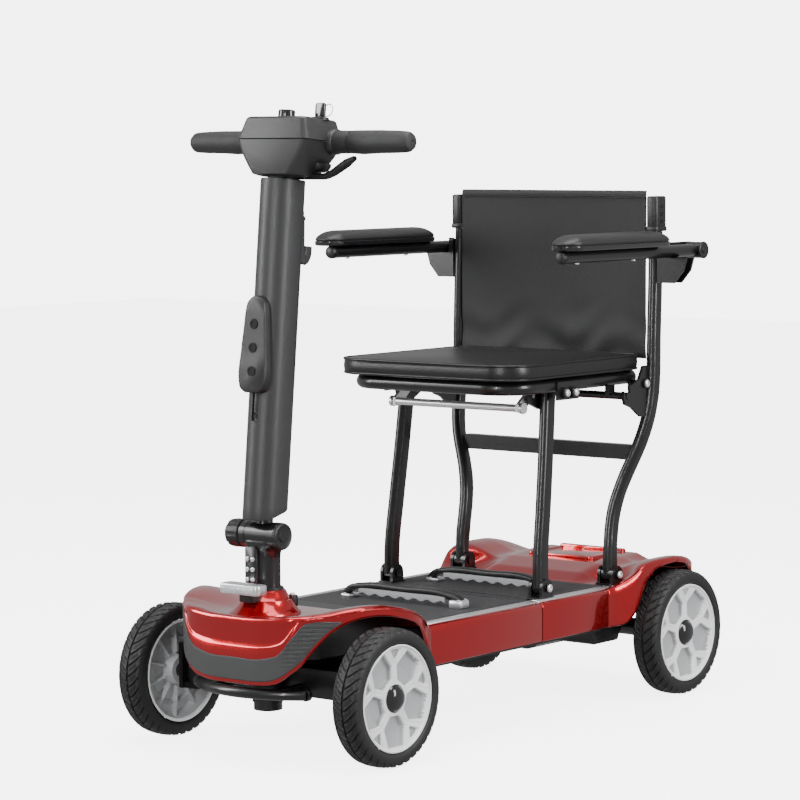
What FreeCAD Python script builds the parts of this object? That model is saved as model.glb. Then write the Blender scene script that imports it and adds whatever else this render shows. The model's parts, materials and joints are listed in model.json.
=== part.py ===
"""Folding four-wheel mobility scooter, built as separate pieces.

Frame: millimetres, +Z up, +Y to the rear, +X to the rider's left.
The origin is on the ground, midway between the two axles.
Every size is a cell of the sheet 'dims', and each piece is bound to those cells.
"""
import FreeCAD, Part
import math
import os
import PartDesign
import Sketcher

V = FreeCAD.Vector
X_AXIS = V(1, 0, 0)
Y_AXIS = V(0, 1, 0)
Z_AXIS = V(0, 0, 1)

SIZES = {
    # running gear
    "wheelbase": 745, "wheel_radius": 100, "wheel_plane": 206, "tyre_width": 45, "tyre_shoulder": 12,
    "rim_radius": 77.7, "rim_depth": 43, "rim_wall": 4, "dish_depth": 7, "pocket_depth": 6.5,
    "hub_radius": 20.5, "hub_height": 14, "axle_radius": 8, "running_gap": 0.05, "loose_gap": 0.4,
    # body and deck
    "nose_reach": 95.5, "tail_reach": 100, "nose_half": 125, "deck_half": 175, "deck_top": 180,
    "deck_bottom": 122, "shell_wall": 3, "nose_top": 214, "nose_bottom": 118, "fender_top": 226,
    "fender_half": 196, "well_rear": 134, "shell_seam": 48, "seam_gap": 1, "mat_thickness": 5,
    "mat_half": 150, "trim_width": 14, "rail_width": 24, "rail_height": 24, "rail_inner": 95,
    "tail_top": 203, "tail_front": 78, "pan_thickness": 3,
    # steering
    "stem_offset": 20, "stem_radius": 17, "neck_radius": 20, "collar_top": 238, "collar_foot": 43,
    "kingpin_x": 155, "kingpin_radius": 7, "arm_reach": 60, "beam_bottom": 85, "beam_height": 50,
    "beam_depth": 40, "arm_plate": 8, "stud_radius": 4, "rod_radius": 5,
    # tiller
    "hinge_forward": 25.5, "hinge_height": 320, "lean": 5.6, "fold_pin_radius": 8, "cheek_radius": 20,
    "hub_half": 22, "cheek_thickness": 11, "column_length": 516, "column_width": 56, "column_depth": 70,
    "column_wall": 3, "column_foot": 25, "tube_radius": 12.5, "bar_rise": 573, "bar_back": 34,
    "bar_half": 208, "bar_radius": 9, "grip_radius": 17, "grip_length": 140, "console_foot": 528,
    "console_split": 572, "console_head": 604, "console_half": 57, "console_front": 27,
    "console_rear": 52, "knob_radius": 12.5, "knob_height": 12, "paddle_half": 118,
    # accessory bracket on the column
    "bracket_foot": 205, "bracket_height": 140, "bracket_half": 20, "bracket_thickness": 12,
    "bracket_hole": 4, "hole_pitch": 34, "hole_first": 236,
    # seat linkage
    "pin_height": 200, "front_pin_y": 81, "rear_pin_y": 268, "link_run": 33, "link_rise": 303,
    "leg_x": 147, "leg_top_x": 138, "leg_width": 14, "leg_depth": 28, "post_width": 18, "post_depth": 26,
    "post_top": 742, "post_lean": 62, "pivot_radius": 5, "eye_radius": 12.5, "cheek_gap": 0.9,
    "cap_height": 55, "bar_catch_back": 47, "bar_catch_drop": 17, "catch_radius": 6,
    # seat
    "seat_tube": 11, "seat_half": 157, "seat_front": -7, "seat_corner": 50,
    "cushion_overhang": 21,
    "cushion_height": 30, "cushion_corner": 45, "back_thickness": 28, "sling_foot": 51,
    "sling_rise": 61, "post_gap": 36,
    # armrests
    "arm_gap": 32, "arm_drop": 30.5, "arm_front": 30, "arm_back": 127, "arm_tube": 9.75,
    "arm_hub": 13, "arm_pin": 6, "pad_width": 60, "pad_front": 14, "pad_length": 271, "pad_height": 23.5,
    "pad_offset": 7,
    # carry handles and drive
    "handle_front_y": -84, "handle_rear_y": 130, "handle_half": 106, "handle_x": 10,
    "handle_foot": 12, "handle_rise": 12, "motor_radius": 36, "motor_length": 104, "case_half": 40,
    # bag hook
    "hook_pin": 468, "hook_foot": 400,
}


class Size:
    """A length that knows its number and the sheet expression that gives it."""

    def __init__(self, value, text=None):
        self.value = float(value)
        self.text = text or repr(round(float(value), 6))

    def _join(self, other, sign, number):
        return Size(number, f"({self.text} {sign} {other.text})")

    def __add__(self, other):
        other = as_size(other)
        return self._join(other, "+", self.value + other.value)

    def __sub__(self, other):
        other = as_size(other)
        return self._join(other, "-", self.value - other.value)

    def __mul__(self, other):
        other = as_size(other)
        return self._join(other, "*", self.value * other.value)

    def __truediv__(self, other):
        other = as_size(other)
        return self._join(other, "/", self.value / other.value)

    def __radd__(self, other):
        return as_size(other) + self

    def __rsub__(self, other):
        return as_size(other) - self

    def __rmul__(self, other):
        return as_size(other) * self

    def __neg__(self):
        return Size(0) - self

    def __float__(self):
        return self.value


def as_size(value):
    return value if isinstance(value, Size) else Size(value)


doc = FreeCAD.newDocument("mobility_scooter")
sheet = doc.addObject("Spreadsheet::Sheet", "dims")
for row, (alias, number) in enumerate(SIZES.items(), 1):
    sheet.set(f"A{row}", alias)
    sheet.set(f"B{row}", str(number))
    sheet.setAlias(f"B{row}", alias)
doc.recompute()

# places that follow from other sizes, so that a changed seat or linkage stays together
TIED = {
    "post_x": lambda: d.seat_half + d.post_gap,
    "seat_tube_z": lambda: d.pin_height + d.link_rise + 9,
    "seat_rear": lambda: d.rear_pin_y + d.link_run + 10,
    "cushion_half": lambda: d.seat_half + d.cushion_overhang,
    "cushion_front": lambda: d.seat_front - d.cushion_overhang - 2,
    "cushion_rear": lambda: d.seat_rear,
    "back_front": lambda: d.seat_rear + 2,
    "back_foot": lambda: d.seat_tube_z + 29,
    "back_split": lambda: d.back_foot + d.sling_foot,
    "back_top": lambda: d.post_top + d.sling_rise,
    "arm_x": lambda: d.post_x + d.arm_gap,
    "arm_z": lambda: d.post_top - d.arm_drop,
    "arm_pivot_y": lambda: d.rear_pin_y + d.arm_back,
}


class Dims:
    """d.name gives the sheet's value as a Size bound to its cell, or a place tied to others."""

    def __getattr__(self, alias):
        if alias in TIED:
            return TIED[alias]()
        return Size(sheet.get(alias), "dims." + alias)


d = Dims()
nodes = []


# ---------------------------------------------------------------- building blocks
def bind(piece, prop, size):
    size = as_size(size)
    piece.setExpression(prop, size.text)


def locate(piece, x, y, z, axis=None, angle=0):
    """Bind the placement's base to sizes, with an optional fixed turn."""
    turn = FreeCAD.Rotation(axis, angle) if axis else FreeCAD.Rotation()
    base = V(float(as_size(x)), float(as_size(y)), float(as_size(z)))
    piece.Placement = FreeCAD.Placement(base, turn)
    for prop, size in (("x", x), ("y", y), ("z", z)):
        bind(piece, "Placement.Base." + prop, size)
    return piece


def block(x, y, z, name="block"):
    """A box from its low and high size along each axis."""
    piece = doc.addObject("Part::Box", name)
    for prop, (low, high) in (("Length", x), ("Width", y), ("Height", z)):
        bind(piece, prop, as_size(high) - low)
    return locate(piece, x[0], y[0], z[0])


TURNS = {"X": (Y_AXIS, 90), "Y": (X_AXIS, -90), "Z": (None, 0)}


def rod(axis, centre, low, high, radius, name="rod"):
    """A cylinder along an axis from low to high; centre holds the two other places in X, Y, Z order."""
    piece = doc.addObject("Part::Cylinder", name)
    bind(piece, "Radius", radius)
    bind(piece, "Height", as_size(high) - low)
    places = list(centre)
    places.insert("XYZ".index(axis), low)
    return locate(piece, *places, *TURNS[axis])


def cone(centre, low, high, radius_low, radius_high, name="cone"):
    piece = doc.addObject("Part::Cone", name)
    bind(piece, "Radius1", radius_low)
    bind(piece, "Radius2", radius_high)
    bind(piece, "Height", as_size(high) - low)
    return locate(piece, centre[0], centre[1], low)


def plane_of(body, role):
    return [item for item in body.Origin.OriginFeatures if item.Role == role][0]


def outline(body, role, points):
    """A closed sketch of straight lines whose corners are bound to sizes."""
    sketch = body.newObject("Sketcher::SketchObject", body.Name + "_sketch")
    sketch.AttachmentSupport = [(plane_of(body, role), "")]
    sketch.MapMode = "FlatFace"
    corners = [(as_size(a), as_size(b)) for a, b in points]
    count = len(corners)
    for i, (a, b) in enumerate(corners):
        after = corners[(i + 1) % count]
        start = V(float(a), float(b), 0)
        sketch.addGeometry(Part.LineSegment(start, V(float(after[0]), float(after[1]), 0)), False)
    for i in range(count):
        sketch.addConstraint(Sketcher.Constraint("Coincident", i, 2, (i + 1) % count, 1))
    for i, corner in enumerate(corners):
        for kind, size in zip(("DistanceX", "DistanceY"), corner):
            k = sketch.addConstraint(Sketcher.Constraint(kind, -1, 1, i, 1, float(size)))
            sketch.setExpression(f"Constraints[{k}]", size.text)
    return sketch


PLANES = {"Z": "XY_Plane", "X": "YZ_Plane", "Y": "XZ_Plane"}


def prism(axis, points, low, high, name="prism"):
    """A padded polygon along an axis from low to high."""
    body = doc.addObject("PartDesign::Body", name)
    sketch = outline(body, PLANES[axis], points)
    pad = body.newObject("PartDesign::Pad", name + "_pad")
    pad.Profile = sketch
    pad.Length = float(as_size(high) - low)
    bind(pad, "Length", as_size(high) - low)
    place = {"X": (low, 0, 0), "Y": (0, high, 0), "Z": (0, 0, low)}[axis]
    return locate(body, *place)


def fuse(*pieces, name="fused"):
    piece = doc.addObject("Part::MultiFuse", name)
    piece.Shapes = list(pieces)
    piece.Refine = True
    return piece


def cut(base, *tools, name="cut"):
    piece = doc.addObject("Part::Cut", name)
    piece.Base = base
    piece.Tool = tools[0] if len(tools) == 1 else fuse(*tools, name=name + "_tools")
    piece.Refine = True
    return piece


def rounded(base, radius, pick=None, name="rounded"):
    """Fillet the edges that pick accepts; all of them without pick."""
    doc.recompute()
    edges = [i for i, edge in enumerate(base.Shape.Edges, 1) if pick is None or pick(edge)]
    piece = doc.addObject("Part::Fillet", name)
    piece.Base = base
    piece.Edges = [(i, float(radius), float(radius)) for i in edges]
    return piece


def along(axis):
    """True for straight edges that run along an axis."""
    def test(edge):
        run = edge.Vertexes[-1].Point - edge.Vertexes[0].Point
        return run.Length > 1e-6 and abs(abs(run.normalize().dot(axis)) - 1) < 1e-6
    return test


def shape_node(shape, name):
    piece = doc.addObject("Part::Feature", name)
    piece.Shape = shape
    return piece


def oval(width, depth):
    """A flat-oval section in the XY plane: two straight sides joined by half circles."""
    small, large = sorted((width, depth))
    r = small / 2
    flat = max((large - small) / 2, 0.01)
    ends = [V(-flat, -r, 0), V(flat, -r, 0), V(flat, r, 0), V(-flat, r, 0)]
    edges = [Part.LineSegment(ends[0], ends[1]).toShape(),
             Part.Arc(ends[1], V(flat + r, 0, 0), ends[2]).toShape(),
             Part.LineSegment(ends[2], ends[3]).toShape(),
             Part.Arc(ends[3], V(-flat - r, 0, 0), ends[0]).toShape()]
    wire = Part.Wire(edges)
    if depth > width:
        wire.rotate(V(0, 0, 0), Z_AXIS, 90)
    return wire


def bent_tube(points, width, depth):
    """A flat-oval tube on a smooth curve through points that rise in Z."""
    curve = Part.BSplineCurve()
    curve.interpolate([V(*point) for point in points])
    section = oval(width, depth)
    section.translate(V(*points[0]))
    return Part.Wire([curve.toShape()]).makePipeShell([section], True, False)


def mirrored(shape):
    return shape.mirror(V(0, 0, 0), X_AXIS)


def keep(piece, label, holder=None):
    """Name a finished sub-part; holder places it with another piece's frame."""
    if holder:
        inner = piece
        piece = doc.addObject("Part::Compound", label)
        piece.Links = [inner] if not isinstance(inner, list) else inner
        holder(piece)
    elif isinstance(piece, list):
        inner = piece
        piece = doc.addObject("Part::Compound", label)
        piece.Links = inner
    piece.Label = label
    nodes.append(piece)
    return piece


# ---------------------------------------------------------------- shared places
front_y = -(d.wheelbase / 2)
rear_y = d.wheelbase / 2
nose_y = front_y - d.nose_reach
tail_y = rear_y + d.tail_reach
stem_y = front_y - d.stem_offset + 0.5
well_y = front_y + d.well_rear
hinge_y = front_y - d.hinge_forward
SIDES = {"left": 1, "right": -1}


# ---------------------------------------------------------------- wheels
def tyre(name):
    body = doc.addObject("PartDesign::Body", name)
    sketch = body.newObject("Sketcher::SketchObject", name + "_sketch")
    sketch.AttachmentSupport = [(plane_of(body, "YZ_Plane"), "")]
    sketch.MapMode = "FlatFace"
    for radius in (d.wheel_radius, d.rim_radius + d.running_gap):
        k = sketch.addGeometry(Part.Circle(V(0, 0, 0), Z_AXIS, float(radius)), False)
        sketch.addConstraint(Sketcher.Constraint("Coincident", k, 3, -1, 1))
        c = sketch.addConstraint(Sketcher.Constraint("Radius", k, float(radius)))
        sketch.setExpression(f"Constraints[{c}]", radius.text)
    pad = body.newObject("PartDesign::Pad", name + "_pad")
    pad.Profile = sketch
    bind(pad, "Length", d.tyre_width)
    doc.recompute()
    outer = float(d.wheel_radius)
    rims = [f"Edge{i}" for i, edge in enumerate(pad.Shape.Edges, 1)
            if hasattr(edge.Curve, "Radius") and abs(edge.Curve.Radius - outer) < 0.01
            and len(edge.Vertexes) == 1]
    shoulder = body.newObject("PartDesign::Fillet", name + "_shoulder")
    shoulder.Base = (pad, rims)
    shoulder.Radius = float(d.tyre_shoulder)
    bind(shoulder, "Radius", d.tyre_shoulder)
    body.Tip = shoulder
    return body


def rim(name):
    """A dished disc in a barrel, with five pockets between Y-shaped spokes. Local +X faces out."""
    body = doc.addObject("PartDesign::Body", name)
    face = d.rim_depth / 2
    dish = face - d.dish_depth
    back = dish - d.pocket_depth - d.rim_wall
    barrel = d.rim_radius - d.rim_wall
    bore = d.axle_radius + d.running_gap
    profile = outline(body, "XY_Plane", [
        (-face, barrel), (-face, d.rim_radius), (face, d.rim_radius), (face, d.rim_radius - 3),
        (face - 4, barrel - 2), (dish, d.rim_radius * 0.62), (dish + 1, d.hub_radius + 2),
        (dish + 1, bore), (-face + 6, bore), (-face + 6, d.hub_radius * 0.8), (back, d.hub_radius + 2),
        (back, barrel)])
    turn = body.newObject("PartDesign::Revolution", name + "_turn")
    turn.Profile = profile
    turn.ReferenceAxis = (profile, ["H_Axis"])
    turn.Angle = 360
    pocket_rows = [(0.36, 20.5), (0.60, 27), (0.905, 13.5)]
    polar = [(ratio, -angle) for ratio, angle in pocket_rows]
    polar += [(ratio, angle) for ratio, angle in reversed(pocket_rows)]
    lens = [(0.70, 36.0), (0.895, 27.5), (0.895, 44.5)]
    for label, corners in (("pocket", polar), ("lens", lens)):
        points = []
        for ratio, angle in corners:
            heading = math.radians(angle + 126)
            points.append((d.rim_radius * (ratio * math.cos(heading)),
                           d.rim_radius * (ratio * math.sin(heading))))
        sketch = outline(body, "YZ_Plane", points)
        doc.recompute()
        hollow = body.newObject("PartDesign::Pocket", f"{name}_{label}")
        hollow.Profile = sketch
        sketch.AttachmentOffset = FreeCAD.Placement(V(0, 0, float(face + 1)), FreeCAD.Rotation())
        bind(sketch, "AttachmentOffset.Base.z", face + 1)
        bind(hollow, "Length", d.dish_depth + d.pocket_depth + 1)
        body.Tip = hollow
        doc.recompute()
        pattern = body.newObject("PartDesign::PolarPattern", f"{name}_{label}_pattern")
        pattern.Originals = [hollow]
        pattern.Axis = (plane_of(body, "X_Axis"), [""])
        pattern.Angle = 360
        pattern.Occurrences = 5
        body.Tip = pattern
    return body


def hub(name, shaft_end):
    """The cap over the axle end; a driven hub also carries its half shaft."""
    low = d.rim_depth / 2 - d.dish_depth + 1
    high = low + d.hub_height
    cap = rod("X", (0, 0), low, high, d.hub_radius, name + "_cap")
    cap = rounded(cap, d.hub_height * 0.4, lambda edge: edge.CenterOfMass.x > float(high) - 0.1)
    if shaft_end is None:
        return cap
    shaft = rod("X", (0, 0), -(d.wheel_plane - shaft_end), low + 0.5, d.axle_radius, name + "_shaft")
    return fuse(cap, shaft)


def at_wheel(side, y):
    def place(piece):
        turn = (Z_AXIS, 180) if side < 0 else (None, 0)
        locate(piece, d.wheel_plane * side, y, d.wheel_radius, *turn)
    return place


def tyre_place(side, y):
    def place(piece):
        locate(piece, d.wheel_plane * side - d.tyre_width / 2, y, d.wheel_radius)
    return place


for end, axle_y in (("front", front_y), ("rear", rear_y)):
    for side_name, side in SIDES.items():
        tag = f"{end}_{side_name}"
        keep(tyre("tyre_body_" + tag), "tyre_" + tag, tyre_place(side, axle_y))
        keep(rim("rim_body_" + tag), "rim_" + tag, at_wheel(side, axle_y))
        keep(hub("hub_body_" + tag, d.case_half if end == "rear" else None), "hub_" + tag,
             at_wheel(side, axle_y))


# ---------------------------------------------------------------- chassis
def chassis_frame():
    pieces = []
    low = d.deck_bottom + 4
    beam_rear = stem_y + d.beam_depth
    for side in (1, -1):
        near = d.rail_inner * side
        far = (d.rail_inner + d.rail_width) * side
        x = (near, far) if side > 0 else (far, near)
        pieces.append(block(x, (beam_rear, rear_y - 24), (low, low + d.rail_height), "rail"))
    for y in (beam_rear + 14, d.front_pin_y - 40, d.rear_pin_y - 84):
        pieces.append(block((-d.rail_inner, d.rail_inner), (y, y + d.rail_width), (low, low + d.rail_height),
                            "cross_member"))
    return pieces


keep(chassis_frame(), "chassis_frame")


def front_axle_beam():
    """A cross beam with the steering head in its middle and a kingpin boss at each end."""
    low = d.beam_bottom
    high = low + d.beam_height
    beam = block((-d.kingpin_x, d.kingpin_x), (front_y - d.beam_depth / 2 + 2, stem_y + d.beam_depth),
                 (low + 4, high - 4), "beam")
    head = rod("Z", (0, stem_y), low, d.nose_top - 8, d.stem_radius + 13, "head")
    bosses = [rod("Z", (d.kingpin_x * s, front_y), low, high, d.kingpin_radius + 6, "boss") for s in (1, -1)]
    solid = fuse(beam, head, *bosses)
    bores = [rod("Z", (0, stem_y), low - 1, d.nose_top, d.stem_radius + d.running_gap, "head_bore")]
    bores += [rod("Z", (d.kingpin_x * s, front_y), low - 1, high + 1, d.kingpin_radius + d.running_gap,
                  "kingpin_bore") for s in (1, -1)]
    return cut(solid, *bores)


keep(front_axle_beam(), "front_axle_beam")


def nose_outline(inset):
    """Plan of the nose, drawn in by inset for its cavity."""
    corner = front_y - 52 + inset
    half = d.nose_half - inset
    left = [(half, well_y), (half, corner), (half - 12, corner - 21), (half - 27, nose_y + 10 + inset),
            (half - 65, nose_y + 3 + inset)]
    return [(-x, y) for x, y in left] + [(0, nose_y + inset)] + left[::-1]


def fender(points_out, side, inner_x, name):
    """An arched guard: outline points (y, z) above the wheel, thickened downwards and inwards."""
    wall = d.shell_wall
    mid = sum(float(as_size(y)) for y, z in points_out) / len(points_out)
    inside = []
    for y, z in reversed(points_out):
        shift = wall if float(as_size(y)) < mid else -wall
        inside.append((y + shift, z - wall))
    low, high = (inner_x, d.fender_half) if side > 0 else (-d.fender_half, -inner_x)
    return prism("X", list(points_out) + inside, low, high, name)


def front_shell():
    wall = d.shell_wall
    nose = prism("Z", nose_outline(as_size(0)), d.nose_bottom, d.nose_top, "nose")
    nose_room = prism("Z", nose_outline(wall), d.nose_bottom - 1, d.nose_top - wall, "nose_room")
    deck = block((-d.deck_half, d.deck_half), (well_y, d.shell_seam - d.seam_gap / 2),
                 (d.deck_bottom, d.deck_top), "front_deck")
    deck_room = block((wall - d.deck_half, d.deck_half - wall),
                      (well_y + wall, d.shell_seam + 1), (d.deck_bottom - 1, d.deck_top - wall), "deck_room")
    passage = block((wall - d.nose_half, d.nose_half - wall), (well_y - 1, well_y + wall + 1),
                    (d.nose_bottom - 1, d.deck_top - wall), "passage")
    top = d.fender_top
    guards = []
    for side in (1, -1):
        line = [(front_y - 56, top - 12), (front_y - 20, top - 2), (front_y + 10, top),
                (front_y + 50, top - 4), (front_y + 82, top - 18), (front_y + 104, top - 46),
                (front_y + 120, top - 90)]
        guard = fender(line, side, d.nose_half - 6, "front_fender")
        far = (d.fender_half + 1) * side
        corner = [((d.nose_half + 14) * side, front_y - 57), (far, front_y - 57), (far, front_y + 20)]
        if side < 0:
            corner.reverse()
        guards.append(cut(guard, prism("Z", corner, 0, top + 20, "fender_corner")))
    solid = fuse(nose, deck, *guards)
    head_hole = rod("Z", (0, stem_y), d.nose_top - 10, d.nose_top + 1, d.stem_radius + 3, "head_hole")
    beam_reach = d.kingpin_x + 15
    beam_way = block((-beam_reach, beam_reach), (front_y - 24, stem_y + d.beam_depth + 3),
                     (d.nose_bottom - 1, d.beam_bottom + d.beam_height + 3), "beam_way")
    return cut(solid, nose_room, deck_room, passage, head_hole, beam_way)


keep(front_shell(), "front_shell")


def rear_shell():
    wall = d.shell_wall
    start = rear_y - d.tail_front
    body_half = d.deck_half - 3
    deck = block((-d.deck_half, d.deck_half), (d.shell_seam + d.seam_gap / 2, start),
                 (d.deck_bottom, d.deck_top), "rear_deck")
    deck_room = block((wall - d.deck_half, d.deck_half - wall), (d.shell_seam - 1, start + 1),
                      (d.deck_bottom - 1, d.deck_top - wall), "rear_deck_room")

    def tail_outline(inset):
        half = body_half - inset
        return [(-half, start), (-half, tail_y - 30), (-half + 48, tail_y - 5 - inset),
                (0, tail_y - inset), (half - 48, tail_y - 5 - inset), (half, tail_y - 30), (half, start)]

    tail = prism("Z", tail_outline(as_size(0)), d.deck_bottom, d.tail_top, "tail")
    slope = prism("X", [(start - 1, d.deck_top), (start + 44, d.tail_top), (start + 44, d.tail_top + 1),
                        (start - 1, d.tail_top + 1)], -d.fender_half, d.fender_half, "slope")
    room = prism("Z", tail_outline(wall), d.deck_bottom - 1, d.deck_top - wall, "tail_room")
    upper = prism("X", [(start - 1, d.deck_top - wall - 1), (start - 1 + 6, d.deck_top - wall),
                        (start + 48, d.tail_top - wall), (tail_y - 40, d.tail_top - wall),
                        (tail_y - 40, d.deck_top - wall - 1)], wall - body_half, body_half - wall,
                  "upper_room")
    top = d.fender_top - 5
    guards = []
    for side in (1, -1):
        line = [(rear_y - 134, top - 95), (rear_y - 116, top - 50), (rear_y - 86, top - 20),
                (rear_y - 45, top - 3), (rear_y + 2, top), (rear_y + 46, top - 5), (rear_y + 78, top - 24),
                (rear_y + 99, top - 60)]
        guards.append(fender(line, side, d.deck_half - 6, "rear_fender"))
    body = cut(fuse(deck, tail), slope)
    body = cut(body, deck_room, room, upper)
    axle_hole = rod("X", (rear_y, d.wheel_radius), -d.fender_half, d.fender_half, 30, "axle_room")
    return cut(fuse(body, *guards), axle_hole)


keep(rear_shell(), "rear_shell")


def bumper_trim():
    """The grey band that wraps the nose under the red panel."""
    high = d.nose_bottom + 38
    band = prism("Z", nose_outline(as_size(-1.5)), d.nose_bottom + 12, high, "band")
    inside = prism("Z", nose_outline(-d.running_gap), d.nose_bottom, high + 1, "band_room")
    rear = block((-d.fender_half, d.fender_half), (front_y - 54, well_y + 1), (0, high + 1), "band_rear")
    return cut(band, inside, rear)


def front_bumper_bar():
    reach = d.nose_half - 22
    y = front_y - 54
    curve = Part.Arc(V(-float(reach), float(y), 100), V(0, float(nose_y) + 2, 100),
                     V(float(reach), float(y), 100))
    section = Part.Wire([Part.Circle(V(-float(reach), float(y), 100), curve.toShape().tangentAt(
        curve.toShape().FirstParameter), 8).toShape()])
    bar = Part.Wire([curve.toShape()]).makePipeShell([section], True, False)
    arms = []
    for side in (1, -1):
        x = 60 * side
        arms.append(Part.makeBox(10, float(front_y - 18) - float(nose_y) - 12, 10,
                                 V(x - 5, float(nose_y) + 12, 95)))
    return bar.fuse(arms).removeSplitter()


keep(bumper_trim(), "bumper_trim")
keep(shape_node(front_bumper_bar(), "front_bumper_bar_shape"), "front_bumper_bar")


def steering_collar():
    """The cone round the stem, with the lobe that carries the headlight."""
    foot = d.nose_top
    skirt = cone((0, stem_y), foot, d.collar_top, d.collar_foot, d.neck_radius + 4, "skirt")
    lobe = block((-15, 15), (stem_y - 54, stem_y - 20), (foot, d.collar_top + 2), "lobe")
    bore = rod("Z", (0, stem_y), foot - 1, d.collar_top + 3, d.stem_radius + 2, "collar_bore")
    return cut(fuse(skirt, lobe), bore)


keep(steering_collar(), "steering_collar")
lamp_low = d.collar_top + 2
lamp = rounded(block((-36, 36), (stem_y - 64, stem_y - 38), (lamp_low, lamp_low + 18), "lamp"), 4)
keep(lamp, "headlight_housing")
lens = block((-32, 32), (stem_y - 68, stem_y - 64), (lamp_low + 3, lamp_low + 15), "lens")
keep(rounded(lens, 1.5), "headlight_lens")


def belly_pan():
    low = d.deck_bottom - d.pan_thickness - 0.5
    half = d.deck_half - 4
    end = rear_y - 34 - d.motor_length - 26
    return block((-half, half), (well_y + 4, end), (low, low + d.pan_thickness), "pan")


keep(belly_pan(), "belly_pan")


def deck_mats():
    mats = []
    gap = 3
    spans = ((well_y + 8, d.shell_seam - gap), (d.shell_seam + gap, d.rear_pin_y - 24))
    for y in spans:
        mat = block((-d.mat_half, d.mat_half), y, (d.deck_top, d.deck_top + d.mat_thickness), "mat")
        mats.append(rounded(mat, 2, along(Z_AXIS)))
    return mats


keep(deck_mats(), "deck_mats")


def deck_trim_strips():
    """Bright strips between the mats and the deck's edge."""
    strips = []
    y_spans = ((well_y + 12, d.shell_seam - 2), (d.shell_seam + 2, d.rear_pin_y - 24))
    for side in (1, -1):
        near = (d.mat_half + 2) * side
        far = (d.mat_half + 2 + d.trim_width) * side
        x = (near, far) if side > 0 else (far, near)
        for y in y_spans:
            strips.append(block(x, y, (d.deck_top, d.deck_top + 3), "trim"))
    return strips


keep(deck_trim_strips(), "deck_trim_strips")


def power_pack():
    """Two battery boxes and the motor controller, between the rails."""
    low = d.deck_bottom + 3
    high = d.deck_top - d.shell_wall - 1
    front = well_y + 10
    member = d.front_pin_y - 40
    parts_list = []
    for side in (1, -1):
        x = (1, d.rail_inner - 3) if side > 0 else (3 - d.rail_inner, -1)
        box = block(x, (front, member - 4), (low, high), "battery")
        parts_list.append(rounded(box, 4, along(Z_AXIS)))
    controller = block((-55, 55), (member + d.rail_width + 6, d.rear_pin_y - 90), (low + 4, high - 12),
                       "controller")
    parts_list.append(rounded(controller, 3))
    return parts_list


keep(power_pack(), "power_pack")


def transaxle_housing():
    """Gear case with an axle tube to each side; the half shafts run in the tubes."""
    half = d.case_half
    case = rounded(block((-half, half), (rear_y - 34, rear_y + 34),
                         (d.wheel_radius - 32, d.wheel_radius + 32), "gear_case"), 8)
    tube = rod("X", (rear_y, d.wheel_radius), -(d.wheel_plane - 26), d.wheel_plane - 26,
               d.axle_radius + 6, "axle_tube")
    flange = [rod("X", (rear_y, d.wheel_radius), s * half - 4, s * half + 4, 22, "flange") for s in (1, -1)]
    bore = rod("X", (rear_y, d.wheel_radius), -d.wheel_plane, d.wheel_plane,
               d.axle_radius + d.running_gap, "shaft_bore")
    return cut(fuse(case, tube, *flange), bore)


keep(transaxle_housing(), "transaxle_housing")


def drive_motor():
    rear_end = rear_y - 34
    z = d.wheel_radius + 6
    can = rod("Y", (4, z), rear_end - d.motor_length, rear_end, d.motor_radius, "motor_can")
    brake = rod("Y", (4, z), rear_end - d.motor_length - 18, rear_end - d.motor_length,
                d.motor_radius - 8, "motor_brake")
    return fuse(can, brake)


keep(drive_motor(), "drive_motor")
pivots = [(d.front_pin_y, d.leg_width), (d.rear_pin_y, d.post_width)]


def seat_leg_brackets():
    """Four clevises on the deck with a bolt through each."""
    base_z = d.deck_top + d.mat_thickness
    solids = []
    for y, width in pivots:
        for side in (1, -1):
            x = d.leg_x * side
            inner = width / 2 + d.cheek_gap
            foot_z = base_z if float(y) < float(d.rear_pin_y) - 24 else d.deck_top
            base = block((x - inner - 5, x + inner + 5), (y - 18, y + 18), (foot_z, base_z + 2), "foot")
            cheeks = []
            for face in (1, -1):
                low = x + inner if face > 0 else x - inner - 5
                cheeks.append(block((low, low + 5), (y - 14, y + 14), (base_z, d.pin_height), "cheek"))
                cheeks.append(rod("X", (y, d.pin_height), low, low + 5, 14, "cheek_top"))
            hole = rod("X", (y, d.pin_height), x - 40, x + 40, d.pivot_radius, "bolt_hole")
            solids.append(cut(fuse(base, *cheeks), hole))
            shank = rod("X", (y, d.pin_height), x - inner - 5, x + inner + 5, d.pivot_radius, "shank")
            ends = [rod("X", (y, d.pin_height), x + inner + 5, x + inner + 8, 7, "bolt_head"),
                    rod("X", (y, d.pin_height), x - inner - 8, x - inner - 5, 7, "bolt_nut")]
            solids.append(fuse(shank, *ends))
    return solids


keep(seat_leg_brackets(), "seat_leg_brackets")
deck_face = d.deck_top + d.mat_thickness
handle_rows = (d.handle_front_y, d.handle_rear_y)


def handle_blocks():
    solids = []
    for y in handle_rows:
        for side in (1, -1):
            x = d.handle_x + d.handle_half * side
            foot = block((x - 11, x + 11), (y - 14, y + 14), (deck_face, deck_face + d.handle_foot),
                         "handle_block")
            solids.append(rounded(foot, 3, lambda edge: edge.CenterOfMass.z > float(deck_face) + 1))
    return solids


keep(handle_blocks(), "handle_blocks")


def carry_handles():
    """Raised bars from block to block, clear of the mat so that fingers pass under."""
    solids = []
    for y in handle_rows:
        foot = deck_face + d.handle_foot
        top = foot + d.handle_rise
        near = d.handle_x - d.handle_half
        far = d.handle_x + d.handle_half
        points = [(near - 9, foot), (far + 9, foot), (far - 8, top - 3), (far - 24, top), (near + 24, top),
                  (near + 8, top - 3)]
        solids.append(prism("Y", points, y - 8, y + 8, "handle_bar"))
    return solids


keep(carry_handles(), "carry_handles")


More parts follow.
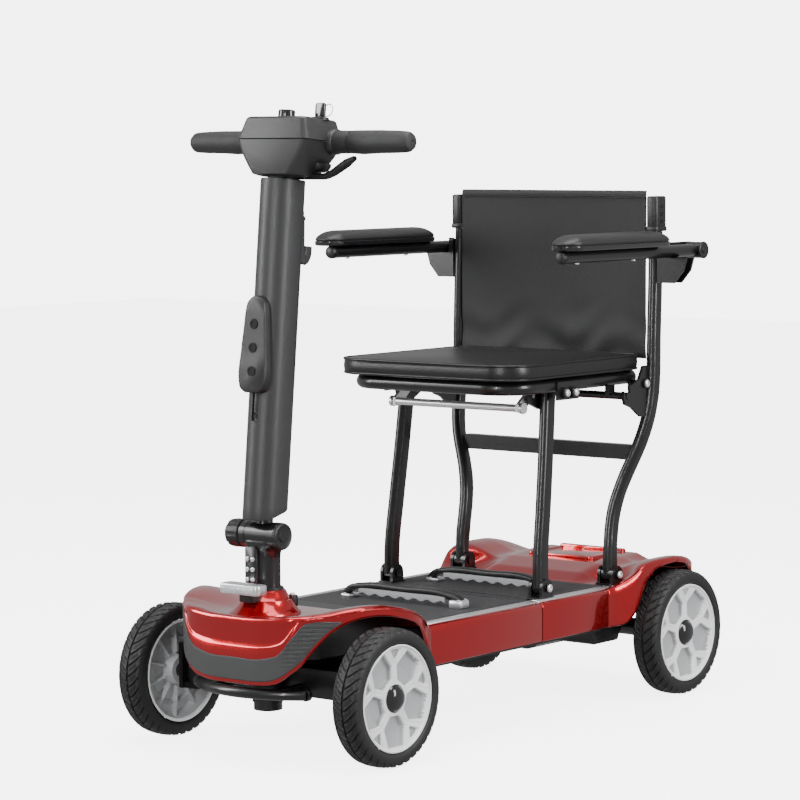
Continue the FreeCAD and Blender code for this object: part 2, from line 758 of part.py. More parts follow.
# ---------------------------------------------------------------- steering
def steering_stem():
    """Shaft in the steering head, neck above the collar, and the fork of the tiller hinge."""
    low = d.beam_bottom - 22
    shoulder = d.collar_top + 1
    root = d.hinge_height - d.cheek_radius - 1.5
    shaft = rod("Z", (0, stem_y), low, shoulder, d.stem_radius, "shaft")
    neck = rod("Z", (0, stem_y), shoulder, root - 12, d.neck_radius, "neck")
    outer = d.hub_half + 0.4 + d.cheek_thickness
    yoke = block((-outer, outer), (stem_y - 26, stem_y + 18), (root - 14, root), "yoke")
    cheeks = []
    for side in (1, -1):
        inner = d.hub_half + 0.4
        x = (inner, outer) if side > 0 else (-outer, -inner)
        cheeks.append(block(x, (hinge_y - d.cheek_radius, hinge_y + d.cheek_radius),
                            (root - 2, d.hinge_height), "cheek"))
        cheeks.append(rod("X", (hinge_y, d.hinge_height), *x, d.cheek_radius, "cheek_top"))
    pin = rod("X", (hinge_y, d.hinge_height), -outer - 14, outer + 4, d.fold_pin_radius, "fold_pin")
    head = rod("X", (hinge_y, d.hinge_height), outer, outer + 5, d.cheek_radius - 2, "pin_head")
    return fuse(shaft, neck, yoke, pin, head, *cheeks)


keep(steering_stem(), "steering_stem")


def steering_arm(low, x, y, name):
    """A flat arm reaching back to a stud; the stud stands up through the tie rod's eye."""
    plate = block((x - 9, x + 9), (y, y + d.arm_reach), (low, low + d.arm_plate), name)
    end = rod("Z", (x, y + d.arm_reach), low, low + d.arm_plate, 9, name + "_end")
    return [plate, end]


arm_low = d.beam_bottom - 1 - d.arm_plate


def pitman_arm():
    boss = rod("Z", (0, stem_y), arm_low, arm_low + d.arm_plate, d.stem_radius + 6, "pitman_boss")
    nut = rod("Z", (0, stem_y), arm_low - 12, arm_low, d.stem_radius + 4, "stem_nut")
    stud = rod("Z", (0, stem_y + d.arm_reach), arm_low + 1, arm_low + d.arm_plate + 20, d.stud_radius, "stud")
    bore = rod("Z", (0, stem_y), arm_low - 20, arm_low + 20, d.stem_radius + d.running_gap, "stem_bore")
    plate, end = steering_arm(arm_low, as_size(0), stem_y, "pitman")
    return cut(fuse(boss, nut, stud, plate, end), bore)


keep(pitman_arm(), "pitman_arm")


def tie_rods():
    """Two rods stacked on the pitman stud, one to each knuckle."""
    solids = []
    base = arm_low + d.arm_plate
    for i, side in enumerate((1, -1)):
        low = base + 0.5 + 9 * i
        z = low + 4
        inner = (as_size(0), stem_y + d.arm_reach)
        outer = (d.kingpin_x * side, front_y + d.arm_reach)
        eyes = [rod("Z", place, low, low + 8, 8.5, "eye") for place in (inner, outer)]
        run = V(float(outer[0] - inner[0]), float(outer[1] - inner[1]), 0)
        bar = doc.addObject("Part::Cylinder", "tie_bar")
        bind(bar, "Radius", 3.6)
        bar.Height = run.Length
        turn = FreeCAD.Rotation(Z_AXIS, run)
        bar.Placement = FreeCAD.Placement(V(float(inner[0]), float(inner[1]), float(z)), turn)
        holes = [rod("Z", inner, low - 1, low + 9, d.stud_radius + d.running_gap, "inner_eye_hole"),
                 rod("Z", outer, low - 1, low + 9, d.stud_radius + d.loose_gap, "outer_eye_hole")]
        solids.append(cut(fuse(bar, *eyes), *holes))
    return solids


keep(tie_rods(), "tie_rods")


def knuckle(side):
    """Kingpin, yoke, stub axle and steering arm of one front wheel."""
    x = d.kingpin_x * side
    low = arm_low
    high = d.beam_bottom + d.beam_height + 1
    pin = rod("Z", (x, front_y), low, high + 8, d.kingpin_radius, "kingpin")
    outer = d.kingpin_x + 17.5
    plate_x = (outer, outer + 7)
    arm_x = (d.kingpin_x - 10, outer + 7)
    if side < 0:
        plate_x = (-outer - 7, -outer)
        arm_x = (-outer - 7, 10 - d.kingpin_x)
    plate = block(plate_x, (front_y - 15, front_y + 15), (low, high + 8), "upright_plate")
    top = block(arm_x, (front_y - 11, front_y + 11), (high, high + 8), "yoke_top")
    bottom = block(arm_x, (front_y - 11, front_y + 11), (low, low + d.arm_plate), "yoke_bottom")
    axle_x = (outer + 3, d.wheel_plane + d.rim_depth / 2 - d.dish_depth + 0.5)
    collar_x = (outer + 7, d.wheel_plane - d.rim_depth / 2 + 5)
    if side < 0:
        axle_x = (-axle_x[1], -axle_x[0])
        collar_x = (-collar_x[1], -collar_x[0])
    axle = rod("X", (front_y, d.wheel_radius), *axle_x, d.axle_radius, "stub_axle")
    collar = rod("X", (front_y, d.wheel_radius), *collar_x, d.axle_radius + 3, "axle_collar")
    arm, end = steering_arm(low, x, front_y, "knuckle_arm")
    rise = 9 if side < 0 else 0
    stud = rod("Z", (x, front_y + d.arm_reach), low + 1, low + d.arm_plate + 10 + rise, d.stud_radius, "stud")
    return fuse(pin, plate, top, bottom, axle, collar, arm, end, stud)


for side_name, side in SIDES.items():
    keep(knuckle(side), "knuckle_" + side_name)


# ---------------------------------------------------------------- tiller, in its own leaning frame
def tiller(piece):
    """Local Z runs up the column from the fold hinge; local +Y faces the rider."""
    locate(piece, 0, hinge_y, d.hinge_height, X_AXIS, -float(d.lean))


def tiller_tube():
    """Hinge hub, inner tube and the handlebar welded to its top."""
    hub_r = d.cheek_radius - 0.5
    barrel = rod("X", (0, 0), -d.hub_half, d.hub_half, hub_r, "hinge_hub")
    tube = rod("Z", (0, 0), hub_r - 3, d.bar_rise, d.tube_radius, "tube")
    neck = block((-8, 8), (-8, d.bar_back), (d.bar_rise - 9, d.bar_rise + 9), "bar_neck")
    bar = rod("X", (d.bar_back, d.bar_rise), 6 - d.bar_half, d.bar_half - 6, d.bar_radius, "handlebar")
    bore = rod("X", (0, 0), -40, 40, d.fold_pin_radius + d.running_gap, "hinge_bore")
    return cut(fuse(barrel, tube, neck, bar), bore)


keep(tiller_tube(), "tiller_tube", tiller)


def column_cover():
    """Oval sleeve round the tube, with the long slot in its front and three vents."""
    low = float(d.column_foot)
    high = float(d.column_length)
    skin = Part.Face(oval(float(d.column_width), float(d.column_depth))).extrude(V(0, 0, high - low))
    wall = float(d.column_wall)
    inner = Part.Face(oval(float(d.column_width) - 2 * wall, float(d.column_depth) - 2 * wall))
    room = inner.extrude(V(0, 0, high - low - 2 * wall))
    skin.translate(V(0, 0, low))
    room.translate(V(0, 0, low + wall))
    ends = Part.makeCylinder(float(d.tube_radius) + 0.3, high, V(0, 0, 0))
    foot = float(d.bracket_foot) - 45
    slot = Part.makeBox(14, 2.5, 50, V(-7, -float(d.column_depth) / 2, foot - 8))
    return skin.cut([room, ends, slot])


keep(shape_node(column_cover(), "column_cover_shape"), "column_cover", tiller)


def accessory_bracket():
    """Plate on the front of the column with three bolt holes for a basket or a bag."""
    low = d.bracket_foot
    high = low + d.bracket_height
    half = d.bracket_half
    plate = prism("Y", [(-half - 5, low), (half + 5, low), (half, high - 24), (half - 7, high),
                        (7 - half, high), (-half, high - 24)], -(d.column_depth / 2) - d.bracket_thickness,
                  -(d.column_depth / 2), "bracket_plate")
    holes = []
    for i in range(3):
        place = (0, d.hole_first + d.hole_pitch * i)
        holes.append(rod("Y", place, -d.column_depth, 0, d.bracket_hole, "hole"))
    return cut(plate, *holes)


keep(accessory_bracket(), "accessory_bracket", tiller)


def console(low, high, half_low, half_high, name):
    """The outside of one half of the control housing, as wide as asked at its foot and head."""
    points = [(-half_low, low), (half_low, low), (half_high, high), (-half_high, high)]
    return prism("Y", points, -d.console_front, d.console_rear, name)


def console_lower():
    ridge = d.console_half + 8
    shell = console(d.console_foot, d.console_split, d.console_half - 9, ridge, "console_lower_shell")
    room = block((-d.console_half + 14, d.console_half - 14), (3 - d.console_front, d.console_rear - 3),
                 (d.console_foot + 3, d.console_split + 1), "console_lower_room")
    tube = rod("Z", (0, 0), d.console_foot - 1, d.console_foot + 5, d.tube_radius + 0.3, "tube_room")
    bar = rod("X", (d.bar_back, d.bar_rise), -d.bar_half, d.bar_half, d.bar_radius + 0.3, "bar_room")
    return cut(shell, room, tube, bar)


def console_upper():
    ridge = d.console_half + 8
    low = d.console_split + 0.4
    shell = console(low, d.console_head, ridge, d.console_half - 2, "console_upper_shell")
    room = block((-d.console_half + 14, d.console_half - 14), (3 - d.console_front, d.console_rear - 3),
                 (low - 1, d.console_head - 3), "console_upper_room")
    bar = rod("X", (d.bar_back, d.bar_rise), -d.bar_half, d.bar_half, d.bar_radius + 0.3, "bar_room")
    return cut(shell, room, bar)


keep(console_lower(), "console_lower", tiller)
keep(console_upper(), "console_upper", tiller)


def hand_grips():
    grips = []
    for side in (1, -1):
        low = d.bar_half - d.grip_length if side > 0 else -d.bar_half
        high = d.bar_half if side > 0 else d.grip_length - d.bar_half
        sleeve = rod("X", (d.bar_back, d.bar_rise), low, high, d.grip_radius, "grip")
        sleeve = rounded(sleeve, 4)
        bore_low = low - 1 if side > 0 else low + 6
        bore_high = high - 6 if side > 0 else high + 1
        bore = rod("X", (d.bar_back, d.bar_rise), bore_low, bore_high, d.bar_radius, "grip_bore")
        grips.append(cut(sleeve, bore))
    return grips


keep(hand_grips(), "hand_grips", tiller)


def throttle_paddle():
    """Lever on a ring round the tube; its wing runs out under the left grip and turns up."""
    low = d.column_length + 1.5
    high = d.console_foot - 1.5
    reach = d.paddle_half
    wing = prism("Z", [(-14, 14), (70, 14), (70, 26), (-14, 26)], low, high, "wing_root")
    tip = prism("Y", [(60, low), (70, low), (reach - 4, low + 22), (reach, low + 32), (reach - 9, low + 32),
                      (66, high)], 14, 26, "wing_tip")
    ring = rod("Z", (0, 0), low, high, d.tube_radius + 10, "ring")
    bore = rod("Z", (0, 0), low - 1, high + 1, d.tube_radius + 0.3, "ring_bore")
    return cut(fuse(wing, ring, tip), bore)


keep(throttle_paddle(), "throttle_paddle", tiller)


def fold_knob():
    outer = d.hub_half + 0.4 + d.cheek_thickness
    knob = rod("X", (0, 0), -outer - 28, -outer - 0.8, d.cheek_radius + 1, "knob")
    knob = rounded(knob, 6, lambda edge: edge.CenterOfMass.x < -float(outer) - 27)
    bore = rod("X", (0, 0), -outer - 15, -outer, d.fold_pin_radius + d.running_gap, "knob_bore")
    return cut(knob, bore)


keep(fold_knob(), "fold_knob", tiller)


def speed_knob():
    knob = rod("Z", (0, 0), d.console_head + 0.5, d.console_head + 0.5 + d.knob_height, d.knob_radius,
               "speed_knob_body")
    return rounded(knob, 2, lambda edge: edge.CenterOfMass.z > float(d.console_head) + 5)


keep(speed_knob(), "speed_knob", tiller)


def ignition_key():
    key_x = d.console_half - 12
    foot = d.console_head + 0.5
    shank = rod("Z", (key_x, 22), foot, foot + 6, 3, "key_shank")
    bow = prism("Y", [(key_x - 8, foot + 6), (key_x + 8, foot + 6), (key_x + 10, foot + 22),
                      (key_x + 4, foot + 28), (key_x - 4, foot + 28), (key_x - 10, foot + 22)], 20.5, 23.5,
                "key_bow")
    hole = rod("Y", (key_x, foot + 20), 15, 30, 3.5, "ring_hole")
    return cut(fuse(shank, bow), hole)


keep(ignition_key(), "ignition_key", tiller)


def bag_hook():
    """Folding hook on the rider's side of the column."""
    face = d.column_depth / 2
    foot = d.hook_foot
    pin = d.hook_pin
    points = [(face + 1, pin + 2), (face + 9, pin + 2), (face + 12, foot + 40), (face + 14, foot + 12),
              (face + 22, foot + 8), (face + 25, foot + 24), (face + 29, foot + 24), (face + 27, foot + 2),
              (face + 10, foot), (face + 6, foot + 36), (face + 1, foot + 52)]
    hook = prism("X", points, -8, 8, "hook")
    barrel = rod("X", (face + 4, pin), -11, 11, 3.5, "hook_barrel")
    return fuse(hook, barrel)


keep(bag_hook(), "bag_hook", tiller)


# ---------------------------------------------------------------- seat linkage
def front_legs():
    """Two links from the deck to the seat, flat oval, with an eye at each end."""
    solids = []
    foot_x = float(d.leg_x)
    top_x = float(d.leg_top_x)
    foot_y = float(d.front_pin_y)
    run = float(d.link_run)
    foot_z = float(d.pin_height)
    rise = float(d.link_rise)
    bends = [(0, 0, 0), (0.05, -0.02, 0.12), (0.15, 0.33, 0.4), (0.35, 0.62, 0.62), (1, 1, 1)]
    points = [(foot_x + (top_x - foot_x) * a, foot_y + run * b, foot_z + rise * c) for a, b, c in bends]
    width = float(d.leg_width)
    leg = bent_tube(points, width, float(d.leg_depth))
    radius = float(d.eye_radius)
    bore = float(d.pivot_radius + d.running_gap)
    for x, y, z in (points[0], points[-1]):
        start = V(x - width / 2, y, z)
        leg = leg.fuse(Part.makeCylinder(radius, width, start, X_AXIS))
    for x, y, z in (points[0], points[-1]):
        leg = leg.cut(Part.makeCylinder(bore, 40, V(x - 20, y, z), X_AXIS))
    solids.append(leg)
    solids.append(mirrored(leg))
    return Part.makeCompound(solids)


keep(shape_node(front_legs(), "front_legs_shape"), "front_legs")
seat_pivot_y = d.rear_pin_y + d.link_run
seat_pivot_z = d.pin_height + d.link_rise
leg_pivot_y = d.front_pin_y + d.link_run
catch_y = seat_pivot_y - d.bar_catch_back
catch_z = seat_pivot_z - d.bar_catch_drop
plate_x = (d.post_x - 6, d.post_x - 1)


def back_posts():
    """The two bent uprights with their lower eyes, hinge plates and the bar between them."""
    foot = (float(d.leg_x), float(d.rear_pin_y), float(d.pin_height))
    spread = float(d.post_x) - foot[0]
    rise = float(d.post_top) - foot[2]
    lean = float(d.post_lean)
    bends = [(0, 0, 0), (0, 0.03, 0.09), (0.02, 0.19, 0.19), (0.26, 0.37, 0.277), (0.74, 0.58, 0.387),
             (0.96, 0.81, 0.498), (1.0, 0.9, 0.664), (1.0, 0.97, 0.886), (0.98, 1.0, 1.0)]
    points = [(foot[0] + spread * a, foot[1] + lean * b, foot[2] + rise * c) for a, b, c in bends]
    width = float(d.post_width)
    post = bent_tube(points, width, float(d.post_depth))
    post = post.fuse(Part.makeCylinder(float(d.eye_radius), width, V(foot[0] - width / 2, *foot[1:]), X_AXIS))
    bore = Part.makeCylinder(float(d.pivot_radius + d.running_gap), 60, V(foot[0] - 30, *foot[1:]), X_AXIS)
    post = post.cut(bore)
    left = shape_node(post, "post_left")
    right = shape_node(mirrored(post), "post_right")
    y = seat_pivot_y
    z = seat_pivot_z
    rear = y + 13
    points = [(rear, z - 52), (rear, z + 28), (y - 4, z + 28), (y - 16, z + 8), (catch_y + 10, z),
              (catch_y - 9, z - 2), (catch_y - 13, catch_z), (catch_y - 8, catch_z - 13),
              (catch_y + 10, z - 36), (y - 12, z - 52)]
    pieces = [left, right]
    for side in (1, -1):
        x = plate_x if side > 0 else (-plate_x[1], -plate_x[0])
        plate = prism("X", points, *x, "hinge_plate")
        hole = rod("X", (y, z), -300, 300, d.pivot_radius + d.running_gap, "hinge_hole")
        notch = rod("X", (catch_y, catch_z), -300, 300, d.catch_radius + d.loose_gap, "notch")
        mouth = prism("X", [(catch_y - d.catch_radius - 0.4, catch_z),
                            (catch_y + d.catch_radius + 0.4, catch_z),
                            (catch_y + d.catch_radius - 4, catch_z + 40),
                            (catch_y - d.catch_radius - 22, catch_z + 40)], -300, 300, "mouth")
        pieces.append(cut(plate, hole, notch, mouth))
    bar_z = foot[2] + 192
    bar_y = foot[1] + 38
    across = float(d.leg_x) + 17.5
    pieces.append(block((-across, across), (bar_y - 8, bar_y + 8), (bar_z - 12, bar_z + 12), "cross_bar"))
    return pieces


keep(back_posts(), "back_posts")
post_head_y = d.rear_pin_y + d.post_lean
post_head_x = d.post_x - 0.9


def post_caps():
    caps = []
    for side in (1, -1):
        x = (post_head_x - d.post_width / 2, post_head_x + 12)
        if side < 0:
            x = (-x[1], -x[0])
        low = d.post_top + 1.5
        cap = block(x, (post_head_y - 16, post_head_y + 16), (low, low + d.cap_height), "cap")
        caps.append(rounded(cap, 5, along(Z_AXIS)))
    return caps


keep(post_caps(), "post_caps")
arm_face = d.post_x + d.post_width / 2 + 0.6


def arm_brackets():
    """Gusset plates, side plate and pivot pin of each armrest."""
    solids = []
    z = d.arm_z
    rest = z - d.arm_tube - 0.25
    for side in (1, -1):
        pieces = []
        outer = d.arm_x + 33
        line = [(arm_face, z - 50), (arm_face + 32, z - 50), (outer - 6, z - 30), (outer, rest),
                (arm_face + 9, rest), (arm_face + 9, z + 15), (arm_face, z + 15)]
        if side < 0:
            line = [(-x, height) for x, height in reversed(line)]
        for y in (d.rear_pin_y + 50, d.rear_pin_y + 70):
            pieces.append(prism("Y", line, y, y + 4, "gusset"))
        x = (arm_face, arm_face + 4) if side > 0 else (-arm_face - 4, -arm_face)
        pieces.append(block(x, (d.rear_pin_y + 52, d.arm_pivot_y + 13), (z - 15, z + 13), "side_plate"))
        pin_x = (arm_face + 1, d.arm_x + 14)
        if side < 0:
            pin_x = (-pin_x[1], -pin_x[0])
        pieces.append(rod("X", (d.arm_pivot_y, z), *pin_x, d.arm_pin, "arm_pin"))
        solids.append(fuse(*pieces))
    return solids


keep(arm_brackets(), "arm_brackets")


def back_panel(low, high):
    half = d.post_x - d.post_width / 2 - 1.5
    panel = block((-half, half), (d.back_front, d.back_front + d.back_thickness), (low, high), "panel")
    return rounded(panel, 8, along(Z_AXIS))


keep(back_panel(d.back_split, d.back_top), "backrest_upper")
keep(back_panel(d.back_foot, d.back_split - 0.5), "backrest_lower")


# ---------------------------------------------------------------- seat
def seat_frame():
    """Bent tube loop with brackets, outer plates, pivot pins and the rest bar."""
    half = float(d.seat_half)
    front = float(d.seat_front)
    rear = float(d.seat_rear)
    z = float(d.seat_tube_z)
    r = float(d.seat_corner)
    k = r * (1 - math.sqrt(0.5))
    edges = [Part.LineSegment(V(half, rear, z), V(half, front + r, z)).toShape(),
             Part.Arc(V(half, front + r, z), V(half - k, front + k, z), V(half - r, front, z)).toShape(),
             Part.LineSegment(V(half - r, front, z), V(r - half, front, z)).toShape(),
             Part.Arc(V(r - half, front, z), V(k - half, front + k, z), V(-half, front + r, z)).toShape(),
             Part.LineSegment(V(-half, front + r, z), V(-half, rear, z)).toShape()]
    section = Part.Wire([Part.Circle(V(half, rear, z), Y_AXIS, float(d.seat_tube)).toShape()])
    loop = shape_node(Part.Wire(edges).makePipeShell([section], True, False), "seat_loop")
    inner = d.seat_half - d.seat_tube + 1
    pieces = [loop]
    for y in (leg_pivot_y - 20, catch_y - 40, d.seat_rear - 16):
        slat_z = (d.seat_tube_z + 4, d.seat_tube_z + 9.5)
        pieces.append(block((-inner, inner), (y - 9, y + 9), slat_z, "slat"))
    lug_y = catch_y
    pieces.append(rod("X", (catch_y, catch_z), -plate_x[1] - 1, plate_x[1] + 1, d.catch_radius, "rest_bar"))
    pin_gap = d.leg_top_x + d.leg_width / 2
    for side in (1, -1):
        spans = {
            "bracket": (d.leg_top_x - 14, d.leg_top_x - 8),
            "lug": (d.seat_half - 4, d.seat_half + 4),
            "outer_plate": (d.seat_half + d.seat_tube - 1, d.seat_half + d.seat_tube + 3),
            "leg_pin": (d.leg_top_x - 9, pin_gap + 4),
            "back_pin": (d.seat_half + 4, plate_x[1] + 1),
            "back_head": (plate_x[1] + 0.6, plate_x[1] + 3.6),
            "bolt": (d.seat_half + d.seat_tube, d.seat_half + d.seat_tube + 7),
        }
        if side < 0:
            spans = {name: (-high, -low) for name, (low, high) in spans.items()}
        top = d.seat_tube_z + 5
        bracket = prism("X", [(leg_pivot_y - 54, top), (leg_pivot_y - 40, seat_pivot_z - 18),
                              (leg_pivot_y - 10, seat_pivot_z - 30), (leg_pivot_y + 16, seat_pivot_z - 16),
                              (leg_pivot_y + 24, top)], *spans["bracket"], "bracket")
        hole = rod("X", (leg_pivot_y - 26, seat_pivot_z - 8), *spans["bracket"],
                   d.stud_radius + d.running_gap, "crank_hole")
        pieces.append(cut(bracket, hole))
        pieces.append(block(spans["lug"], (lug_y - 8, lug_y + 8), (catch_z, d.seat_tube_z), "lug"))
        pieces.append(block(spans["outer_plate"], (leg_pivot_y - 20, leg_pivot_y + 36),
                            (seat_pivot_z - 14, seat_pivot_z + 14), "outer_plate"))
        pieces.append(rod("X", (leg_pivot_y, seat_pivot_z), *spans["leg_pin"], d.pivot_radius, "leg_pin"))
        pieces.append(rod("X", (seat_pivot_y, seat_pivot_z), *spans["back_pin"], d.pivot_radius, "back_pin"))
        pieces.append(rod("X", (seat_pivot_y, seat_pivot_z), *spans["back_head"], 7.5, "back_head"))
        for y in (leg_pivot_y - 4, leg_pivot_y + 19):
            pieces.append(rod("X", (y, seat_pivot_z - 3), *spans["bolt"], 6, "seat_bolt"))
    return fuse(*pieces)


keep(seat_frame(), "seat_frame")
seat_face = d.seat_tube_z + d.seat_tube + 0.3


def seat_pan():
    inner = d.seat_half - d.seat_tube - 1
    pan = block((-inner, inner), (d.seat_front + d.seat_tube + 2, d.seat_rear - 28),
                (d.seat_tube_z + 9.8, seat_face), "seat_pan_plate")
    return rounded(pan, 30, along(Z_AXIS))


keep(seat_pan(), "seat_pan")


def seat_cushion():
    pad = block((-d.cushion_half, d.cushion_half), (d.cushion_front, d.cushion_rear),
                (seat_face, seat_face + d.cushion_height), "cushion")
    corners = rounded(pad, d.cushion_corner, lambda edge: along(Z_AXIS)(edge) and edge.CenterOfMass.y < 100)
    return rounded(corners, 8, lambda edge: edge.CenterOfMass.z > float(seat_face + d.cushion_height) - 0.1)


keep(seat_cushion(), "seat_cushion")


def release_bar():
    """Pull bar across the seat's front, hung on two cranks."""
    pivot_y = leg_pivot_y - 26
    pivot_z = seat_pivot_z - 8
    bar_y = pivot_y - 25
    bar_z = pivot_z - 18
    reach = d.leg_top_x - 8
    pieces = [rod("X", (bar_y, bar_z), -reach, reach, 6, "pull_bar")]
    for side in (1, -1):
        end = (reach - 5, reach) if side > 0 else (-reach, 5 - reach)
        pieces.append(rod("X", (bar_y, bar_z), *end, 8.5, "flange"))
        crank = (d.leg_top_x - 20, d.leg_top_x - 14.6)
        pin = (d.leg_top_x - 17, d.leg_top_x - 8.5)
        if side < 0:
            crank = (-crank[1], -crank[0])
            pin = (-pin[1], -pin[0])
        points = [(bar_y - 6, bar_z - 6), (bar_y + 6, bar_z - 8), (pivot_y + 7, pivot_z - 4),
                  (pivot_y + 6, pivot_z + 7), (pivot_y - 6, pivot_z + 7), (bar_y - 6, bar_z + 6)]
        pieces.append(prism("X", points, *crank, "crank"))
        pieces.append(rod("X", (pivot_y, pivot_z), *pin, d.stud_radius, "crank_pin"))
    return fuse(*pieces)


keep(release_bar(), "release_bar")


# ---------------------------------------------------------------- armrests
def armrest_tube(side):
    z = d.arm_z
    x = d.arm_x * side
    tube = rod("Y", (x, z), d.arm_front, d.arm_pivot_y, d.arm_tube, "arm_tube")
    end = rod("X", (d.arm_pivot_y, z), x - 13, x + 13, d.arm_hub, "arm_end")
    bore = rod("X", (d.arm_pivot_y, z), x - 20, x + 20, d.arm_pin + d.running_gap, "arm_bore")
    return cut(fuse(tube, end), bore)


def armrest_pad(side):
    x = (d.arm_x + d.pad_offset) * side
    half = d.pad_width / 2
    low = d.arm_z + d.arm_tube + 0.1
    pad = block((x - half, x + half), (d.pad_front, d.pad_front + d.pad_length), (low, low + d.pad_height),
                "pad")
    pad = rounded(pad, 14, along(Z_AXIS))
    return rounded(pad, 7, lambda edge: edge.CenterOfMass.z > float(low + d.pad_height) - 0.1)


for side_name, side in SIDES.items():
    keep(armrest_tube(side), "armrest_tube_" + side_name)
    keep(armrest_pad(side), "armrest_pad_" + side_name)


# ---------------------------------------------------------------- check and write
doc.recompute()
for item in doc.Objects:
    bad = [state for state in item.State if state in ("Invalid", "Error")]
    if bad:
        raise RuntimeError(f"{item.Name} is {bad}")
os.makedirs("parts", exist_ok=True)
for piece in nodes:
    shape = piece.Shape
    if shape.isNull() or not shape.isValid() or not shape.Solids:
        raise RuntimeError(f"{piece.Label} has no valid solid")
for piece in nodes:
    piece.Shape.exportStep(f"parts/{piece.Label}.step")
print(len(nodes), "nodes,", sum(len(piece.Shape.Solids) for piece in nodes), "solids")
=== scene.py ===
"""Visual model of the folding mobility scooter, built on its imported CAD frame.

Sizes in the builders are millimetres in the row frame; make() turns them into metres.
"""

import bpy
import bmesh
import json
import math
import numpy as np
from mathutils import Matrix, Vector


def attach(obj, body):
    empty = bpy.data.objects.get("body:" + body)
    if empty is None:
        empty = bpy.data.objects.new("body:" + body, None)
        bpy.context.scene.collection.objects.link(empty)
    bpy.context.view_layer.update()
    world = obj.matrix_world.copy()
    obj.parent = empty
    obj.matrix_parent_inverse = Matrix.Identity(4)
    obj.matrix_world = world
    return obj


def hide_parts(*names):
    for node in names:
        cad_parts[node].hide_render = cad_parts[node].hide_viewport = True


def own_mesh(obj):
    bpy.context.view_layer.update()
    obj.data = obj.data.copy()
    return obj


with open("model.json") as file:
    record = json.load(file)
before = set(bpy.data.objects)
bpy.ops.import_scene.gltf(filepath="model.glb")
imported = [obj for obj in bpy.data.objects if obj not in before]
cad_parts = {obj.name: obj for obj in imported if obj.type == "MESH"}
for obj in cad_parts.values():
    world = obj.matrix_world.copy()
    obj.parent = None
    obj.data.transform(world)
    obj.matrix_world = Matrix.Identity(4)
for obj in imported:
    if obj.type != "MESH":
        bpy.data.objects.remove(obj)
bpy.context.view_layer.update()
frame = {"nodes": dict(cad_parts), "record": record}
MM = 0.001
AXLE_Y = 372.5
WHEEL_X = 206.0
WHEEL_Z = 100.0
RIM_RADIUS = 77.7
STEM_Y = -392.0
HINGE = (0.0, -398.0, 320.0)
LEAN = math.radians(5.6)


# ---------------------------------------------------------------- materials
def material(name, colour, rough, metal=0.0, coat=0.0, coat_rough=0.04, grain=None, tone=0.0):
    """A principled surface; grain is (scale, strength) of fine bumps, tone how far the roughness swings with
    the grain.
    """
    mat = bpy.data.materials.new(name)
    mat.use_nodes = True
    tree = mat.node_tree
    shader = tree.nodes["Principled BSDF"]
    shader.inputs["Base Color"].default_value = (*colour, 1)
    shader.inputs["Roughness"].default_value = rough
    shader.inputs["Metallic"].default_value = metal
    shader.inputs["Coat Weight"].default_value = coat
    shader.inputs["Coat Roughness"].default_value = coat_rough
    if not grain:
        return mat
    place = tree.nodes.new("ShaderNodeTexCoord")
    noise = tree.nodes.new("ShaderNodeTexNoise")
    noise.inputs["Scale"].default_value = grain[0]
    noise.inputs["Detail"].default_value = 6
    tree.links.new(place.outputs["Object"], noise.inputs["Vector"])
    bump = tree.nodes.new("ShaderNodeBump")
    bump.inputs["Strength"].default_value = grain[1]
    bump.inputs["Distance"].default_value = 0.0006
    tree.links.new(noise.outputs["Fac"], bump.inputs["Height"])
    tree.links.new(bump.outputs["Normal"], shader.inputs["Normal"])
    if tone:
        ramp = tree.nodes.new("ShaderNodeMapRange")
        ramp.inputs["To Min"].default_value = rough - tone
        ramp.inputs["To Max"].default_value = rough + tone
        tree.links.new(noise.outputs["Fac"], ramp.inputs["Value"])
        tree.links.new(ramp.outputs["Result"], shader.inputs["Roughness"])
    return mat


RED = material("red_lacquer", (0.46, 0.0, 0.003), 0.22, metal=0.8, coat=1.0, coat_rough=0.02)
BLACK_METAL = material("black_metal", (0.007, 0.007, 0.0075), 0.3, coat=0.25, grain=(900, 0.08))
BLACK_PLASTIC = material("black_plastic", (0.009, 0.009, 0.0095), 0.4, grain=(1500, 0.15))
TILLER = material("tiller_grey", (0.030, 0.0305, 0.032), 0.42, grain=(1600, 0.2))
CONSOLE = material("console_grey", (0.024, 0.024, 0.025), 0.4, grain=(1600, 0.2))
TYRE = material("tyre_rubber", (0.010, 0.010, 0.0105), 0.55, grain=(700, 0.25))
RIM = material("rim_silver", (0.94, 0.945, 0.95), 0.32, metal=0.0)
# darker grey on the rim's pocket floors: painted shade in the recesses
RIM_POCKET_SHADE = material("rim_pocket_shade", (0.46, 0.47, 0.48), 0.42, metal=0.1)
GLOSS = material("gloss_black", (0.01, 0.01, 0.011), 0.14, coat=0.6)
BAND = material("grey_band", (0.045, 0.046, 0.047), 0.55, grain=(1300, 0.5))
MAT = material("ribbed_mat", (0.026, 0.026, 0.028), 0.6, grain=(900, 0.3))
TRIM = material("silver_trim", (0.74, 0.75, 0.77), 0.3, metal=0.85)
STEEL = material("bright_steel", (0.86, 0.86, 0.87), 0.3, metal=0.75)
RUBBER = material("grip_rubber", (0.020, 0.020, 0.021), 0.55, grain=(1500, 0.6))
LEATHER = material("leatherette", (0.008, 0.008, 0.0085), 0.34, grain=(520, 0.35), tone=0.05)
FABRIC = material("back_fabric", (0.010, 0.010, 0.011), 0.62, grain=(1200, 0.5))
FOAM = material("pad_foam", (0.013, 0.013, 0.0135), 0.42, grain=(1100, 0.3))
GREY = material("finger_grey", (0.32, 0.33, 0.34), 0.5)
# near-black painted shade, set into vents, eyes and holes where there is only shade
GAP_SHADE = material("painted_gap_shade", (0.004, 0.004, 0.004), 0.8)


def lens_material():
    mat = material("lamp_clear", (0.93, 0.95, 0.97), 0.06, coat=1.0)
    shader = mat.node_tree.nodes["Principled BSDF"]
    shader.inputs["Transmission Weight"].default_value = 0.55
    shader.inputs["IOR"].default_value = 1.45
    return mat


LENS = lens_material()


